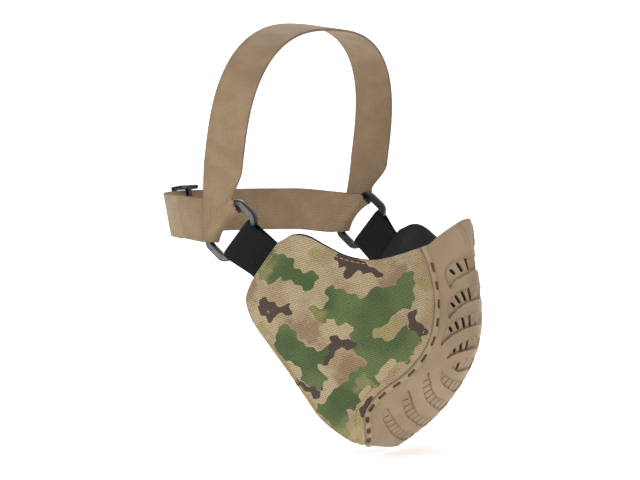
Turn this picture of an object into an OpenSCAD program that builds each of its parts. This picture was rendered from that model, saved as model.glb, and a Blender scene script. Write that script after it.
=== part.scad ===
// Half-face mask in field gear style: a vented moulded rubber front, two padded cloth cheeks,
// webbing tabs with plastic rings, and one elastic band that runs over the crown and round the nape.
//
// Frame: +X is the wearer's left, -Y is forward, +Z is up. The origin is the point midway between
// the centres of the two strap rings, which sit beside the ears. Millimetres and degrees.

/* [Fit] */
// Distance between the centres of the two strap rings
ring_span = 148; // [146:1:152]
// Scale of the face form's radii, 1 is a medium head
face_scale = 1; // [0.97:0.01:1.03]

/* [Front shell] */
// Thickness of the moulded rubber front
shell_t = 2.2; // [1.6:0.1:2.4]
// How far the nose ridge stands out along the centre line
ridge_h = 2.5; // [0:0.5:4]
// Width of a vent slot
slot_w = 1.2; // [0.8:0.1:1.6]
// Thickness of the mesh that backs the vents
liner_t = 0.6; // [0.4:0.1:0.8]

/* [Cheek panels] */
// Thickness of the printed outer cloth
fabric_t = 0.9; // [0.6:0.1:1]
// Thickness of the foam core
foam_t = 3.9; // [3:0.1:4]
// Thickness of the black lining cloth
lining_t = 1; // [0.6:0.1:1.2]
// Distance of the stitch lines from the cloth's edge
stitch_inset = 2.2; // [1.5:0.1:3]
// Distance of the second stitch line from the moulded front
seam_inset = 5; // [4:0.5:6]
// Width of a sewn thread line
thread_w = 0.7; // [0.5:0.1:0.9]

/* [Webbing and rings] */
// Width of the webbing tabs and of the elastic band
strap_w = 25; // [24:0.5:25]
// Thickness of one layer of tab webbing
web_t = 1.2; // [1:0.1:1.3]
// Length of the ring along its bars
ring_long = 35; // [34:0.5:36]
// Width of the ring across its bars
ring_wide = 20.6; // [20:0.2:21]
// Thickness of the ring
ring_t = 4; // [3.6:0.1:4]
// Width of the ring's bars
ring_bar = 3.8; // [3.4:0.1:3.8]
// Angle of the tab's pull below the horizontal
pull_angle = 40; // [38:1:42]

/* [Elastic band] */
// Thickness of the elastic band
band_t = 1.3; // [1:0.1:1.4]
// Half width of the crown loop at the temples
crown_half = 83; // [81:0.5:85]
// Height of the crown loop above the rings
crown_top = 115; // [110:1:120]
// Angle by which the crown loop leans forward
crown_lean = 7.7; // [6:0.1:9]
// Radius of the nape strap about the vertical axis between the rings
nape_r = 75.5; // [75:0.5:77]
// Height of the nape strap's middle above the rings
nape_z = 6.5; // [6:0.5:7]
// Angle by which the nape strap leans in towards the neck
nape_lean = 10; // [8:0.5:11]

/* [Hidden] */

gap = 0.05;            // play between a thread or a webbing layer and what it lies on
layer_gap = 0.3;       // play between the cheek's curved layers
ring_x = ring_span / 2;
rubber = [0.60, 0.49, 0.38];
camo = [0.55, 0.50, 0.35];
foam = [0.20, 0.20, 0.20];
lining = [0.08, 0.08, 0.09];
thread = [0.72, 0.60, 0.36];
black_web = [0.06, 0.06, 0.07];
black_plastic = [0.04, 0.04, 0.05];
elastic = [0.62, 0.50, 0.37];

// ---- The face form ----
// Radius about the vertical axis through the middle of the face (form_y) at each height (rows) and
// at each angle from straight ahead (columns). The form is the mask's outer surface.
form_y = -30;
form_step = 20;
form_z = [-126, -109, -89, -69, -41, -9, 13];
form_r = [
    [30, 31, 33, 35, 38, 41, 44],
    [52.5, 52, 53, 53.5, 53, 54, 56],
    [70, 67, 65.5, 63, 62, 62, 64],
    [80, 76.5, 72, 69, 67.5, 68, 72],
    [83.5, 78, 76, 74, 72, 73, 76],
    [79.5, 69, 70, 71, 71, 73, 75],
    [77, 65, 68, 72, 72, 73, 75]
];
form_a = [for (i = [-1:6]) i * form_step];
form_rows = [for (row = form_r) concat([row[1]], row)];

// Smooth curve through the points (x[i], y[i]); y may be numbers or vectors.
function slope(x, y, i) =
    let (n = len(x) - 1)
    i <= 0 ? (y[1] - y[0]) / (x[1] - x[0]) :
    i >= n ? (y[n] - y[n - 1]) / (x[n] - x[n - 1]) :
    let (a = x[i] - x[i - 1], b = x[i + 1] - x[i])
    (b * (y[i] - y[i - 1]) / a + a * (y[i + 1] - y[i]) / b) / (a + b);
function span_of(x, v, i = 0) = i >= len(x) - 2 || v < x[i + 1] ? i : span_of(x, v, i + 1);
function curve(x, y, v) =
    let (i = span_of(x, v), h = x[i + 1] - x[i], t = (v - x[i]) / h)
    (2 * pow(t, 3) - 3 * t * t + 1) * y[i] + (pow(t, 3) - 2 * t * t + t) * h * slope(x, y, i)
    + (3 * t * t - 2 * pow(t, 3)) * y[i + 1] + (pow(t, 3) - t * t) * h * slope(x, y, i + 1);

function radius(a, z) =
    face_scale * curve(form_z, [for (row = form_rows) curve(form_a, row, abs(a))], z)
    + ridge_h * exp(-pow(a / 9, 2));
function form_point(a, z) = let (r = radius(a, z)) [r * sin(a), form_y - r * cos(a), z];
function unit(v) = v / norm(v);
function form_normal(a, z) =
    unit(cross(form_point(a, z + 0.5) - form_point(a, z - 0.5),
               form_point(a + 0.5, z) - form_point(a - 0.5, z)));
// The point at angle a and height z of q, lifted off the form; a positive lift is outward.
function lifted(q, lift) = form_point(q[0], q[1]) - lift * form_normal(q[0], q[1]);

// ---- Outlines on the form, as [angle, height] ----
// The line where the moulded front meets the cheek cloth, from the top down.
seam_line = [[22, -9], [20, -20], [20.5, -41], [23.5, -61], [31, -77], [43, -89], [49, -100],
             [48, -108], [42, -122]];
// The cheek's rear and lower edge, from the webbing down to the chin.
rear_line = [[91.5, -6], [104, -26], [108.5, -38], [106, -50], [98, -64], [89, -79], [82, -92],
             [73, -106.5], [58, -118], [47.5, -121.5]];
// The cheek's upper edge, from the moulded front back to the webbing.
cheek_top = [[22, -9], [37, -13], [48, -15], [59, -13], [68.5, -8], [77, -2.8], [84, -2],
             [91.5, -6]];
chin_line = [[42, -122], [47.5, -121.5]];
// The moulded front's upper and lower edges, from the centre line to the seam.
nose_line = [[0, 6.5], [4, 5.4], [9.5, 0.8], [13.5, -3.2], [17, -7], [22, -9]];
throat_line = [[0, -125], [14, -124.5], [30, -123], [42, -122]];

function along(line, t) = curve([for (i = [0:len(line) - 1]) i / (len(line) - 1)], line, t);
// The same line followed from the wearer's right, through the centre line, to the left.
function across(line, t) = t < 0.5 ? mirrored(along(line, 1 - 2 * t)) : along(line, 2 * t - 1);
function mirrored(q) = [-q[0], q[1]];

// A patch filled in between four edges: s runs from edge 'start' to edge 'end', t from 'top' down.
function fill_in(top, bottom, start, end, s, t, corners) =
    (1 - t) * top + t * bottom + (1 - s) * start + s * end
    - (1 - s) * (1 - t) * corners[0] - s * (1 - t) * corners[1]
    - (1 - s) * t * corners[2] - s * t * corners[3];
function cheek(s, t) =
    fill_in(along(cheek_top, s), along(chin_line, s), along(seam_line, t), along(rear_line, t), s, t,
            [cheek_top[0], rear_line[0], chin_line[0], chin_line[1]]);
function front(s, t) =
    fill_in(across(nose_line, s), across(throat_line, s), mirrored(along(seam_line, t)),
            along(seam_line, t), s, t,
            [mirrored(seam_line[0]), seam_line[0], mirrored(chin_line[0]), chin_line[0]]);

// A closed solid between two grids of points with the same rows and columns.
module slab(outer, inner) {
    rows = len(outer);
    cols = len(outer[0]);
    n = rows * cols;
    flat = [for (g = [outer, inner]) for (row = g) for (p = row) p];
    function at(g, i, j) = g * n + i * cols + j;
    function quad(a, b, c, d) = [[a, b, c], [a, c, d]];
    skins = [for (i = [0:rows - 2]) for (j = [0:cols - 2]) each concat(
        quad(at(0, i, j), at(0, i, j + 1), at(0, i + 1, j + 1), at(0, i + 1, j)),
        quad(at(1, i, j), at(1, i + 1, j), at(1, i + 1, j + 1), at(1, i, j + 1)))];
    ends = [for (j = [0:cols - 2]) each concat(
        quad(at(0, 0, j), at(1, 0, j), at(1, 0, j + 1), at(0, 0, j + 1)),
        quad(at(0, rows - 1, j), at(0, rows - 1, j + 1), at(1, rows - 1, j + 1), at(1, rows - 1, j)))];
    sides = [for (i = [0:rows - 2]) each concat(
        quad(at(0, i, 0), at(0, i + 1, 0), at(1, i + 1, 0), at(1, i, 0)),
        quad(at(0, i, cols - 1), at(1, i, cols - 1), at(1, i + 1, cols - 1), at(0, i + 1, cols - 1)))];
    polyhedron(flat, concat(skins, ends, sides), convexity = 6);
}

// ---- Front shell ----
front_cols = 34;
front_rows = 30;
function front_grid(lift, inset) = [for (i = [0:front_rows]) [for (j = [0:front_cols])
    lifted(front(inset + (1 - 2 * inset) * j / front_cols, inset + (1 - 2 * inset) * i / front_rows),
           lift)]];

// Vent rows from the nose down: [height at the centre line, angle of the tip, height of the tip,
// slots on each side, length of the middle slots]
vent_rows = [
    [-15.5, 12, -26, 4, 4.5],
    [-33, 14, -46, 4, 5],
    [-50, 16, -60, 4, 5],
    [-64, 13, -70, 3, 4],
    [-76, 8, -77, 2, 3.5],
];
function vent_height(row, a) = row[0] + (row[2] - row[0]) * pow(a / row[1], 2);

module vent_slots() {
    for (row = vent_rows) for (side = [-1, 1]) for (k = [1:row[3]]) {
        a = row[1] * k / (row[3] + 0.6);
        z = vent_height(row, a);
        half = row[4] / 2 * (1 - 0.5 * pow(k / row[3], 2));
        hull() for (end = [-1, 1]) {
            q = [side * (a - end * 0.7), z - end * half];
            for (lift = [-shell_t - 1, 1.5])
                translate(lifted(q, lift)) cube(slot_w, center = true);
        }
    }
}

module front_shell() {
    color(rubber)
    difference() {
        slab(front_grid(0, 0), front_grid(-shell_t, 0));
        vent_slots();
    }
}

module front_liner() {
    liner_top = -shell_t - 0.4;
    color(lining)
    slab(front_grid(liner_top, 0.03), front_grid(liner_top - liner_t, 0.03));
}

// ---- Cheek panels, drawn on the wearer's left and mirrored for the right ----
cheek_cols = 16;
cheek_rows = 20;
// The front edge stops short of the moulded front, and rear_inset keeps a layer off the rear edge.
function cheek_grid(lift, front_inset, rear_inset, edge_inset) =
    [for (i = [0:cheek_rows]) [for (j = [0:cheek_cols])
        lifted(cheek(front_inset + (1 - front_inset - rear_inset) * j / cheek_cols,
                     edge_inset + (1 - 2 * edge_inset) * i / cheek_rows), lift)]];

module sided(side) {
    if (side == "left") children();
    else mirror([1, 0, 0]) children();
}

module cheek_fabric(side) {
    color(camo)
    sided(side) slab(cheek_grid(0, 0.005, 0, 0), cheek_grid(-fabric_t, 0.005, 0, 0));
}

module cheek_foam(side) {
    top = -fabric_t - layer_gap;
    color(foam)
    sided(side) slab(cheek_grid(top, 0.05, 0.32, 0.05), cheek_grid(top - foam_t, 0.05, 0.32, 0.05));
}

module cheek_lining(side) {
    top = -fabric_t - foam_t - 2 * layer_gap;
    color(lining)
    sided(side) slab(cheek_grid(top, 0.02, 0.01, 0.01), cheek_grid(top - lining_t, 0.02, 0.01, 0.01));
}

// ---- Stitching: a flat thread line that lies on the cloth ----
stitch_rows = 60;
thread_lift = 0.55;        // top of the thread above the form
thread_base = 0.2;         // its underside, clear of the cloth's facets
// One loop round the cheek, followed from the top edge to the rear and back up the seam.
function cheek_loop(t) =
    t < 0.25 ? cheek(4 * t, 0) :
    t < 0.5 ? cheek(1, 4 * t - 1) :
    t < 0.75 ? cheek(3 - 4 * t, 1) : cheek(0, 4 - 4 * t);
// A point moved towards the patch's middle by a distance along the form.
cheek_middle = [68, -55];
function moved_in(q, distance) =
    let (p = lifted(q, 0), reach = norm(lifted(cheek_middle, 0) - p))
    q + (cheek_middle - q) * distance / reach;

// A thread line through points q, each given as [outer edge, inner edge] in [angle, height].
module thread_line(edges) {
    slab([for (e = edges) [lifted(e[1], thread_lift), lifted(e[0], thread_lift)]],
         [for (e = edges) [lifted(e[1], thread_base), lifted(e[0], thread_base)]]);
}

module edge_stitching(side) {
    edges = [for (i = [0:stitch_rows - 1]) let (q = cheek_loop(0.03 + 0.68 * i / (stitch_rows - 1)))
        [moved_in(q, stitch_inset), moved_in(q, stitch_inset + thread_w)]];
    color(thread)
    sided(side) thread_line(edges);
}

// The point beside the seam line, at a distance from it along the form and on the cheek's side.
function beside_seam(t, distance) =
    let (q = along(seam_line, t), step = along(seam_line, t + 0.01) - q,
         mm_per_degree = radius(q[0], q[1]) * PI / 180,
         way = unit([step[0] * mm_per_degree, step[1]]))
    q + distance * [-way[1] / mm_per_degree, way[0]];

module seam_stitching(side) {
    edges = [for (i = [0:stitch_rows / 2]) let (t = 0.06 + 0.84 * 2 * i / stitch_rows)
        [beside_seam(t, seam_inset), beside_seam(t, seam_inset + thread_w)]];
    color(thread)
    sided(side) thread_line(edges);
}

// ---- Rings and webbing tabs ----
// Local axes at a ring: X along the pull towards the mask, Y along the bars, Z outwards.
module at_ring() {
    c = cos(pull_angle);
    s = sin(pull_angle);
    multmatrix([[0, 0, 1, ring_x], [-c, s, 0, 0], [-s, -c, 0, 0], [0, 0, 0, 1]]) children();
}

bar_x = (ring_wide - ring_bar) / 2;     // middle of each bar, across the ring
bar_hole = 3.1;                         // radius inside a fold that goes round a bar
corner_steps = 8;
function corner(cx, cy, r, from) =
    [for (i = [0:corner_steps]) let (a = from + 90 * i / corner_steps) [cx + r * cos(a), cy + r * sin(a)]];
function rounded_box(w, h, r) =
    let (x = w / 2 - r, y = h / 2 - r)
    concat(corner(x, y, r, 0), corner(-x, y, r, 90), corner(-x, -y, r, 180), corner(x, -y, r, 270));

module ring(side) {
    color(black_plastic)
    sided(side) at_ring() linear_extrude(ring_t, center = true)
    difference() {
        polygon(rounded_box(ring_wide, ring_long, 6));
        polygon(rounded_box(ring_wide - 2 * ring_bar, ring_long - 2 * ring_bar - 1, 1.5));
    }
}

// The webbing folds round the front bar and both layers run back into the cheek.
tab_root = 38;         // end of the webbing inside the cheek, from the ring's centre
tab_edge = 23;         // the cheek's rear edge, from the ring's centre
tab_depth = ring_x - 69;    // how far the webbing inside the cheek lies below the ring's plane
fold_steps = 14;
module webbing_tab(side) {
    outer_r = bar_hole + web_t;
    fold = function (r, from, to)
        [for (i = [0:fold_steps]) let (a = from + (to - from) * i / fold_steps)
            [bar_x + r * cos(a), r * sin(a)]];
    outside = concat(
        [[tab_root, web_t - tab_depth], [tab_edge, web_t - tab_depth]], fold(outer_r, 65, 290),
        [[tab_edge, -web_t - tab_depth], [tab_root, -web_t - tab_depth]]);
    inside = concat(
        [[tab_edge - 1, gap - tab_depth]], fold(bar_hole, 65, 290),
        [[tab_edge - 1, -gap - tab_depth]]);
    color(black_web)
    sided(side) at_ring() rotate([90, 0, 0]) linear_extrude(strap_w, center = true)
    difference() {
        polygon(outside);
        polygon(inside);
    }
}

// A dense zigzag of thread across the tab, just short of the ring.
module tab_bartack(side) {
    color(thread)
    sided(side) at_ring() translate([tab_edge + 6, 0, web_t - tab_depth + gap + 0.2])
    cube([1.6, strap_w - 3, 0.4], center = true);
}

// The band comes down outside the ring, turns round the rear bar and runs back inside it.
function ring_to_side(x, y) =
    [-x * cos(pull_angle) + y * sin(pull_angle), -x * sin(pull_angle) - y * cos(pull_angle)];
wrap_reach = 31;       // how far each leg of the wrap runs from the ring's centre
turn_steps = 12;
function half_circle(r) =
    [for (i = [0:turn_steps]) let (a = -90 + 180 * i / turn_steps) [r * cos(a), r * sin(a)]];
module strap_wrap(side) {
    upper = ring_to_side(-bar_x, -strap_w / 2);
    lower = ring_to_side(-bar_x, strap_w / 2);
    crown_mid = 4.6 - wrap_reach * tan(crown_lean);
    legs = [
        [bar_hole, [upper, [crown_mid - 9.5, 23], [crown_mid - strap_w / 2, wrap_reach],
                    [crown_mid + strap_w / 2, wrap_reach], [lower[0] + 2, 8], lower]],
        [-bar_hole - band_t, [upper, [6, nape_z + strap_w / 2], [wrap_reach, nape_z + strap_w / 2],
                              [wrap_reach, nape_z - strap_w / 2], [lower[0] + 2.5, nape_z - strap_w / 2],
                              lower]]
    ];
    color(elastic)
    sided(side) {
        for (leg = legs)
            translate([ring_x + leg[0], 0, 0]) rotate([90, 0, 90]) linear_extrude(band_t) polygon(leg[1]);
        at_ring() translate([-bar_x, 0, 0]) rotate([90, 0, 0]) linear_extrude(strap_w, center = true)
        polygon(concat(half_circle(bar_hole + band_t), reversed(half_circle(bar_hole))));
    }
}

// ---- Elastic band ----
crown_mid_z = 45;       // height where the crown loop is widest
crown_start = 36;       // height where the moving part of the crown strap starts
crown_power = 2.6;      // squareness of the loop, 2 is an ellipse
crown_steps = 40;
function power_of(v, p) = sign(v) * pow(abs(v), p);
function crown_curve(offset) = concat(
    [[crown_half + offset, crown_start]],
    [for (i = [0:crown_steps]) let (a = 180 * i / crown_steps)
        [(crown_half + offset) * power_of(cos(a), 2 / crown_power),
         crown_mid_z + (crown_top - crown_mid_z + offset) * power_of(sin(a), 2 / crown_power)]],
    [[-crown_half - offset, crown_start]]);
function reversed(line) = [for (i = [len(line) - 1:-1:0]) line[i]];

module crown_strap() {
    color(elastic)
    translate([0, 4.6, 0]) rotate([90 + crown_lean, 0, 0]) linear_extrude(strap_w, center = true)
    polygon(concat(crown_curve(band_t / 2), reversed(crown_curve(-band_t / 2))));
}

// A length of band or slider that follows the nape strap's arc. Angles are from straight back,
// towards the wearer's left; r0 and r1 are from the band's middle, and h is half the height.
module nape_arc(from, to, r0, r1, h0, h1) {
    rotate([0, 0, 90 - to]) rotate_extrude(angle = to - from, $fn = 180)
    translate([nape_r, nape_z]) rotate(-nape_lean) translate([r0, h0]) square([r1 - r0, h1 - h0]);
}

nape_half = 58;        // angle from straight back to each end of the nape strap
tail_from = -22;       // sewn end of the doubled stretch
tail_to = 38;          // free end of the doubled stretch
tail_r = band_t / 2 + 0.1;

module nape_strap() {
    color(elastic)
    nape_arc(-nape_half, nape_half, -band_t / 2, band_t / 2, -strap_w / 2, strap_w / 2);
}

module strap_tail() {
    color(elastic)
    nape_arc(tail_from, tail_to, tail_r, tail_r + band_t, -strap_w / 2, strap_w / 2);
}

module tail_bartack() {
    r = tail_r + band_t + gap;
    color(thread)
    nape_arc(tail_from + 0.8, tail_from + 2, r, r + 0.35, 2 - strap_w / 2, strap_w / 2 - 2);
}

// A slider with two end bars outside the doubled band and a middle bar inside it.
slider_half = 6.6;     // half the slider's length, as an angle
slider_play = 0.35;    // clearance between the slider and the band
module strap_adjuster() {
    inner = -band_t / 2 - slider_play;
    outer = tail_r + band_t + slider_play;
    rail = strap_w / 2 + 0.5;
    color(black_plastic) {
        for (end = [-1, 1])
            nape_arc(end * (slider_half - 1.2) - 1.2, end * (slider_half - 1.2) + 1.2,
                     outer, outer + 2, -rail - 1, rail + 1);
        nape_arc(-1.3, 1.3, inner - 2, inner, -rail - 1, rail + 1);
        for (side = [[-rail - 2.4, -rail], [rail, rail + 2.4]])
            nape_arc(-slider_half, slider_half, inner - 2, outer + 2, side[0], side[1]);
    }
}

front_shell();
front_liner();
cheek_fabric("right");  // cheek_fabric_right
cheek_fabric("left");  // cheek_fabric_left
cheek_foam("right");  // cheek_foam_right
cheek_foam("left");  // cheek_foam_left
cheek_lining("right");  // cheek_lining_right
cheek_lining("left");  // cheek_lining_left
edge_stitching("right");  // edge_stitching_right
edge_stitching("left");  // edge_stitching_left
seam_stitching("right");  // seam_stitching_right
seam_stitching("left");  // seam_stitching_left
webbing_tab("right");  // webbing_tab_right
webbing_tab("left");  // webbing_tab_left
tab_bartack("right");  // tab_bartack_right
tab_bartack("left");  // tab_bartack_left
ring("right");  // ring_right
ring("left");  // ring_left
strap_wrap("right");  // strap_wrap_right
strap_wrap("left");  // strap_wrap_left
crown_strap();
nape_strap();
strap_tail();
tail_bartack();
strap_adjuster();
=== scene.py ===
"""Looks of the camo face mask: a vented moulded rubber front, padded camouflage cheeks, webbing tabs with
plastic rings, and an elastic band. Positions are in millimetres until mesh_object() makes them metres."""
import math

import bmesh
import bpy
import numpy as np
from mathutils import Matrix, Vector
from mathutils.geometry import delaunay_2d_cdt


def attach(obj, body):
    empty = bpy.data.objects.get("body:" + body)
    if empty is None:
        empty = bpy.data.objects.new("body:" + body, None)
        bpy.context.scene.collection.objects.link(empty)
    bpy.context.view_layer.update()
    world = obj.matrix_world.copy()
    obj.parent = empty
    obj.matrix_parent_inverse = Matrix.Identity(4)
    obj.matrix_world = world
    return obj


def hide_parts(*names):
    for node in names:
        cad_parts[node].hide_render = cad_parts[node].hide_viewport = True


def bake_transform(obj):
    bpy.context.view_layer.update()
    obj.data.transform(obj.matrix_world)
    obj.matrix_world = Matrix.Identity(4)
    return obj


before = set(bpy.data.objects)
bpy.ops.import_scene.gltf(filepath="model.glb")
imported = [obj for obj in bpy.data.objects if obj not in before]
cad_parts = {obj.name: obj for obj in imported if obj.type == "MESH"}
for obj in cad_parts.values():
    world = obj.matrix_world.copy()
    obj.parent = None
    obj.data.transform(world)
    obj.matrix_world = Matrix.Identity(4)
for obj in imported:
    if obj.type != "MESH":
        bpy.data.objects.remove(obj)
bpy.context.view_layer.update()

MM = 0.001
SIDES = {"left": 1, "right": -1}        # sign of X

# ---- The face form, as in the CAD: angle a in degrees from straight ahead, height z, lift outward ----
FORM_Y = -30.0
FORM_Z = np.array([-126, -109, -89, -69, -41, -9, 13], float)
FORM_R = np.array([
    [30, 31, 33, 35, 38, 41, 44],
    [52.5, 52, 53, 53.5, 53, 54, 56],
    [70, 67, 65.5, 63, 62, 62, 64],
    [80, 76.5, 72, 69, 67.5, 68, 72],
    [83.5, 78, 76, 74, 72, 73, 76],
    [79.5, 69, 70, 71, 71, 73, 75],
    [77, 65, 68, 72, 72, 73, 75],
])
FORM_A = np.arange(-20, 121, 20, dtype=float)
RIDGE_H = 2.5
RIDGE_W = 9.0
SEAM = [[22, -9], [20, -20], [20.5, -41], [23.5, -61], [31, -77], [43, -89], [49, -100], [48, -108],
        [42, -122]]
REAR = [[91.5, -6], [104, -26], [108.5, -38], [106, -50], [98, -64], [89, -79], [82, -92], [73, -106.5],
        [58, -118], [47.5, -121.5]]
TOP = [[22, -9], [37, -13], [48, -15], [59, -13], [68.5, -8], [77, -2.8], [84, -2], [91.5, -6]]
CHIN = [[42, -122], [47.5, -121.5]]
NOSE = [[0, 6.5], [4, 5.4], [9.5, 0.8], [13.5, -3.2], [17, -7], [22, -9]]
THROAT = [[0, -125], [14, -124.5], [30, -123], [42, -122]]


def slopes(x, y):
    """Slopes of a smooth curve through the points (x, y)."""
    run = np.diff(x).reshape((-1,) + (1,) * (y.ndim - 1))
    rise = np.diff(y, axis=0) / run
    middle = (run[1:] * rise[:-1] + run[:-1] * rise[1:]) / (run[1:] + run[:-1])
    return np.concatenate([rise[:1], middle, rise[-1:]])


def hermite(t, h, y0, y1, m0, m1):
    return ((2 * t**3 - 3 * t**2 + 1) * y0 + (t**3 - 2 * t**2 + t) * h * m0
            + (3 * t**2 - 2 * t**3) * y1 + (t**3 - t**2) * h * m1)


def curve(x, y, v, own=False):
    """The curve through (x, y) at each v. With own, column k of y belongs to v[k]."""
    m = slopes(x, y)
    i = np.clip(np.searchsorted(x, v, side="right") - 1, 0, len(x) - 2)
    h = x[i + 1] - x[i]
    t = (v - x[i]) / h
    if own:
        k = np.arange(len(v))
        return hermite(t, h, y[i, k], y[i + 1, k], m[i, k], m[i + 1, k])
    if y.ndim > 1:
        h, t = h[:, None], t[:, None]
    return hermite(t, h, y[i], y[i + 1], m[i], m[i + 1])


def radius(a, z):
    rows = np.concatenate([FORM_R[:, 1:2], FORM_R], axis=1)
    at_angle = curve(FORM_A, rows.T, np.abs(a))
    return curve(FORM_Z, at_angle.T, z, own=True) + RIDGE_H * np.exp(-(a / RIDGE_W) ** 2)


def form_point(a, z):
    r = radius(a, z)
    way = np.radians(a)
    return np.stack([r * np.sin(way), FORM_Y - r * np.cos(way), z], -1)


def form_normal(a, z):
    """The outward unit normal."""
    step = 0.5
    up = form_point(a, z + step) - form_point(a, z - step)
    along = form_point(a + step, z) - form_point(a - step, z)
    n = np.cross(along, up)
    return n / np.linalg.norm(n, axis=-1, keepdims=True)


def on_form(q, lift=0.0):
    """Points of q = [angle, height], lifted off the form by lift."""
    q = np.asarray(q, float)
    shape = q.shape[:-1]
    a, z = q[..., 0].ravel(), q[..., 1].ravel()
    lift = np.broadcast_to(lift, shape).ravel()[:, None]
    return (form_point(a, z) + lift * form_normal(a, z)).reshape(shape + (3,))


def smooth_step(low, high, v):
    t = np.clip((v - low) / (high - low), 0, 1)
    return t * t * (3 - 2 * t)


def along(line, t):
    line = np.array(line, float)
    return curve(np.linspace(0, 1, len(line)), line, np.atleast_1d(np.asarray(t, float)))


def spaced(line, step):
    """Points about every step mm on the smooth curve through a line on the form."""
    fine = along(line, np.linspace(0, 1, 60 * len(line)))
    run = np.concatenate([[0], np.cumsum(np.linalg.norm(np.diff(on_form(fine), axis=0), axis=1))])
    marks = np.linspace(0, run[-1], max(int(round(run[-1] / step)), 2) + 1)
    return np.stack([np.interp(marks, run, fine[:, k]) for k in (0, 1)], -1)


def distance_to(points, line, step=0.5):
    """Distance in space from points (n, 3) to a line on the form."""
    marks = on_form(spaced(line, step))
    best = np.full(len(points), np.inf)
    for chunk in np.array_split(marks, max(len(marks) // 24, 1)):
        gaps = np.linalg.norm(points[:, None] - chunk[None], axis=-1).min(axis=1)
        best = np.minimum(best, gaps)
    return best


def inside(points, loop):
    """True where a point of points (n, 2) is inside the closed loop (m, 2)."""
    x, y = points[:, 0][:, None], points[:, 1][:, None]
    x0, y0 = loop[:, 0][None], loop[:, 1][None]
    x1, y1 = np.roll(loop[:, 0], -1)[None], np.roll(loop[:, 1], -1)[None]
    with np.errstate(divide="ignore", invalid="ignore"):
        crosses = ((y0 > y) != (y1 > y)) & (x < (x1 - x0) * (y - y0) / (y1 - y0) + x0)
    return crosses.sum(axis=1) % 2 == 1


# ---- Mesh helpers ----
def mesh_object(name, points, faces, material, sharp=40.0, uv=None, fields=None):
    """A smooth-shaded mesh. points are in mm, uv in mm per vertex, and fields are named vertex values."""
    mesh = bpy.data.meshes.new(name)
    mesh.from_pydata((np.asarray(points) * MM).tolist(), [], [list(map(int, f)) for f in faces])
    mesh.update()
    if uv is not None:
        layer = mesh.uv_layers.new(name="cloth")
        corners = np.empty(len(mesh.loops), dtype=np.int32)
        mesh.loops.foreach_get("vertex_index", corners)
        layer.data.foreach_set("uv", np.asarray(uv, np.float32)[corners].ravel())
    for key, values in (fields or {}).items():
        attribute = mesh.attributes.new(key, "FLOAT", "POINT")
        attribute.data.foreach_set("value", np.asarray(values, np.float32))
    mesh.polygons.foreach_set("use_smooth", [True] * len(mesh.polygons))
    mesh.set_sharp_from_angle(angle=math.radians(sharp))
    mesh.materials.append(material)
    obj = bpy.data.objects.new(name, mesh)
    bpy.context.collection.objects.link(obj)
    return obj


def face_outwards(obj):
    """Makes a closed mesh's faces point outwards."""
    work = bmesh.new()
    work.from_mesh(obj.data)
    bmesh.ops.recalc_face_normals(work, faces=work.faces)
    work.to_mesh(obj.data)
    work.free()


def grid_faces(rows, cols, first=0, wrap=False):
    """Quads of a grid of points stored row by row; wrap joins the last column to the first."""
    last = cols if wrap else cols - 1
    return [(first + i * cols + j, first + i * cols + (j + 1) % cols,
             first + (i + 1) * cols + (j + 1) % cols, first + (i + 1) * cols + j)
            for i in range(rows - 1) for j in range(last)]


def slab(name, outer, inner, material, uv=None, fields=None, sharp=50.0):
    """A closed sheet between two grids of points (rows, cols, 3)."""
    rows, cols = outer.shape[:2]
    n = rows * cols
    faces = grid_faces(rows, cols) + [f[::-1] for f in grid_faces(rows, cols, first=n)]
    rim = ([j for j in range(cols)] + [i * cols + cols - 1 for i in range(1, rows)]
           + [(rows - 1) * cols + j for j in range(cols - 2, -1, -1)]
           + [i * cols for i in range(rows - 2, 0, -1)])
    faces += [(a, a + n, b + n, b) for a, b in zip(rim, rim[1:] + rim[:1])]
    points = np.concatenate([outer.reshape(-1, 3), inner.reshape(-1, 3)])
    if uv is not None:
        uv = np.concatenate([uv.reshape(-1, 2)] * 2)
    if fields:
        fields = {k: np.concatenate([v.ravel()] * 2) for k, v in fields.items()}
    obj = mesh_object(name, points, faces, material, sharp, uv, fields)
    face_outwards(obj)
    return obj


def sweep(sections, closed):
    """Points and faces of cross-sections (n, k, 3) joined in order, with end caps unless closed."""
    n, k = sections.shape[:2]
    faces = grid_faces(n, k, wrap=True)
    if closed:
        faces += [((n - 1) * k + j, (n - 1) * k + (j + 1) % k, (j + 1) % k, j) for j in range(k)]
    else:
        faces += [tuple(range(k))[::-1], tuple((n - 1) * k + j for j in range(k))]
    return sections.reshape(-1, 3), faces


def joined(parts):
    """One points and faces pair from several."""
    points, faces, count = [], [], 0
    for p, f in parts:
        points.append(p)
        faces += [tuple(count + v for v in face) for face in f]
        count += len(p)
    return np.concatenate(points), faces


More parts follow.
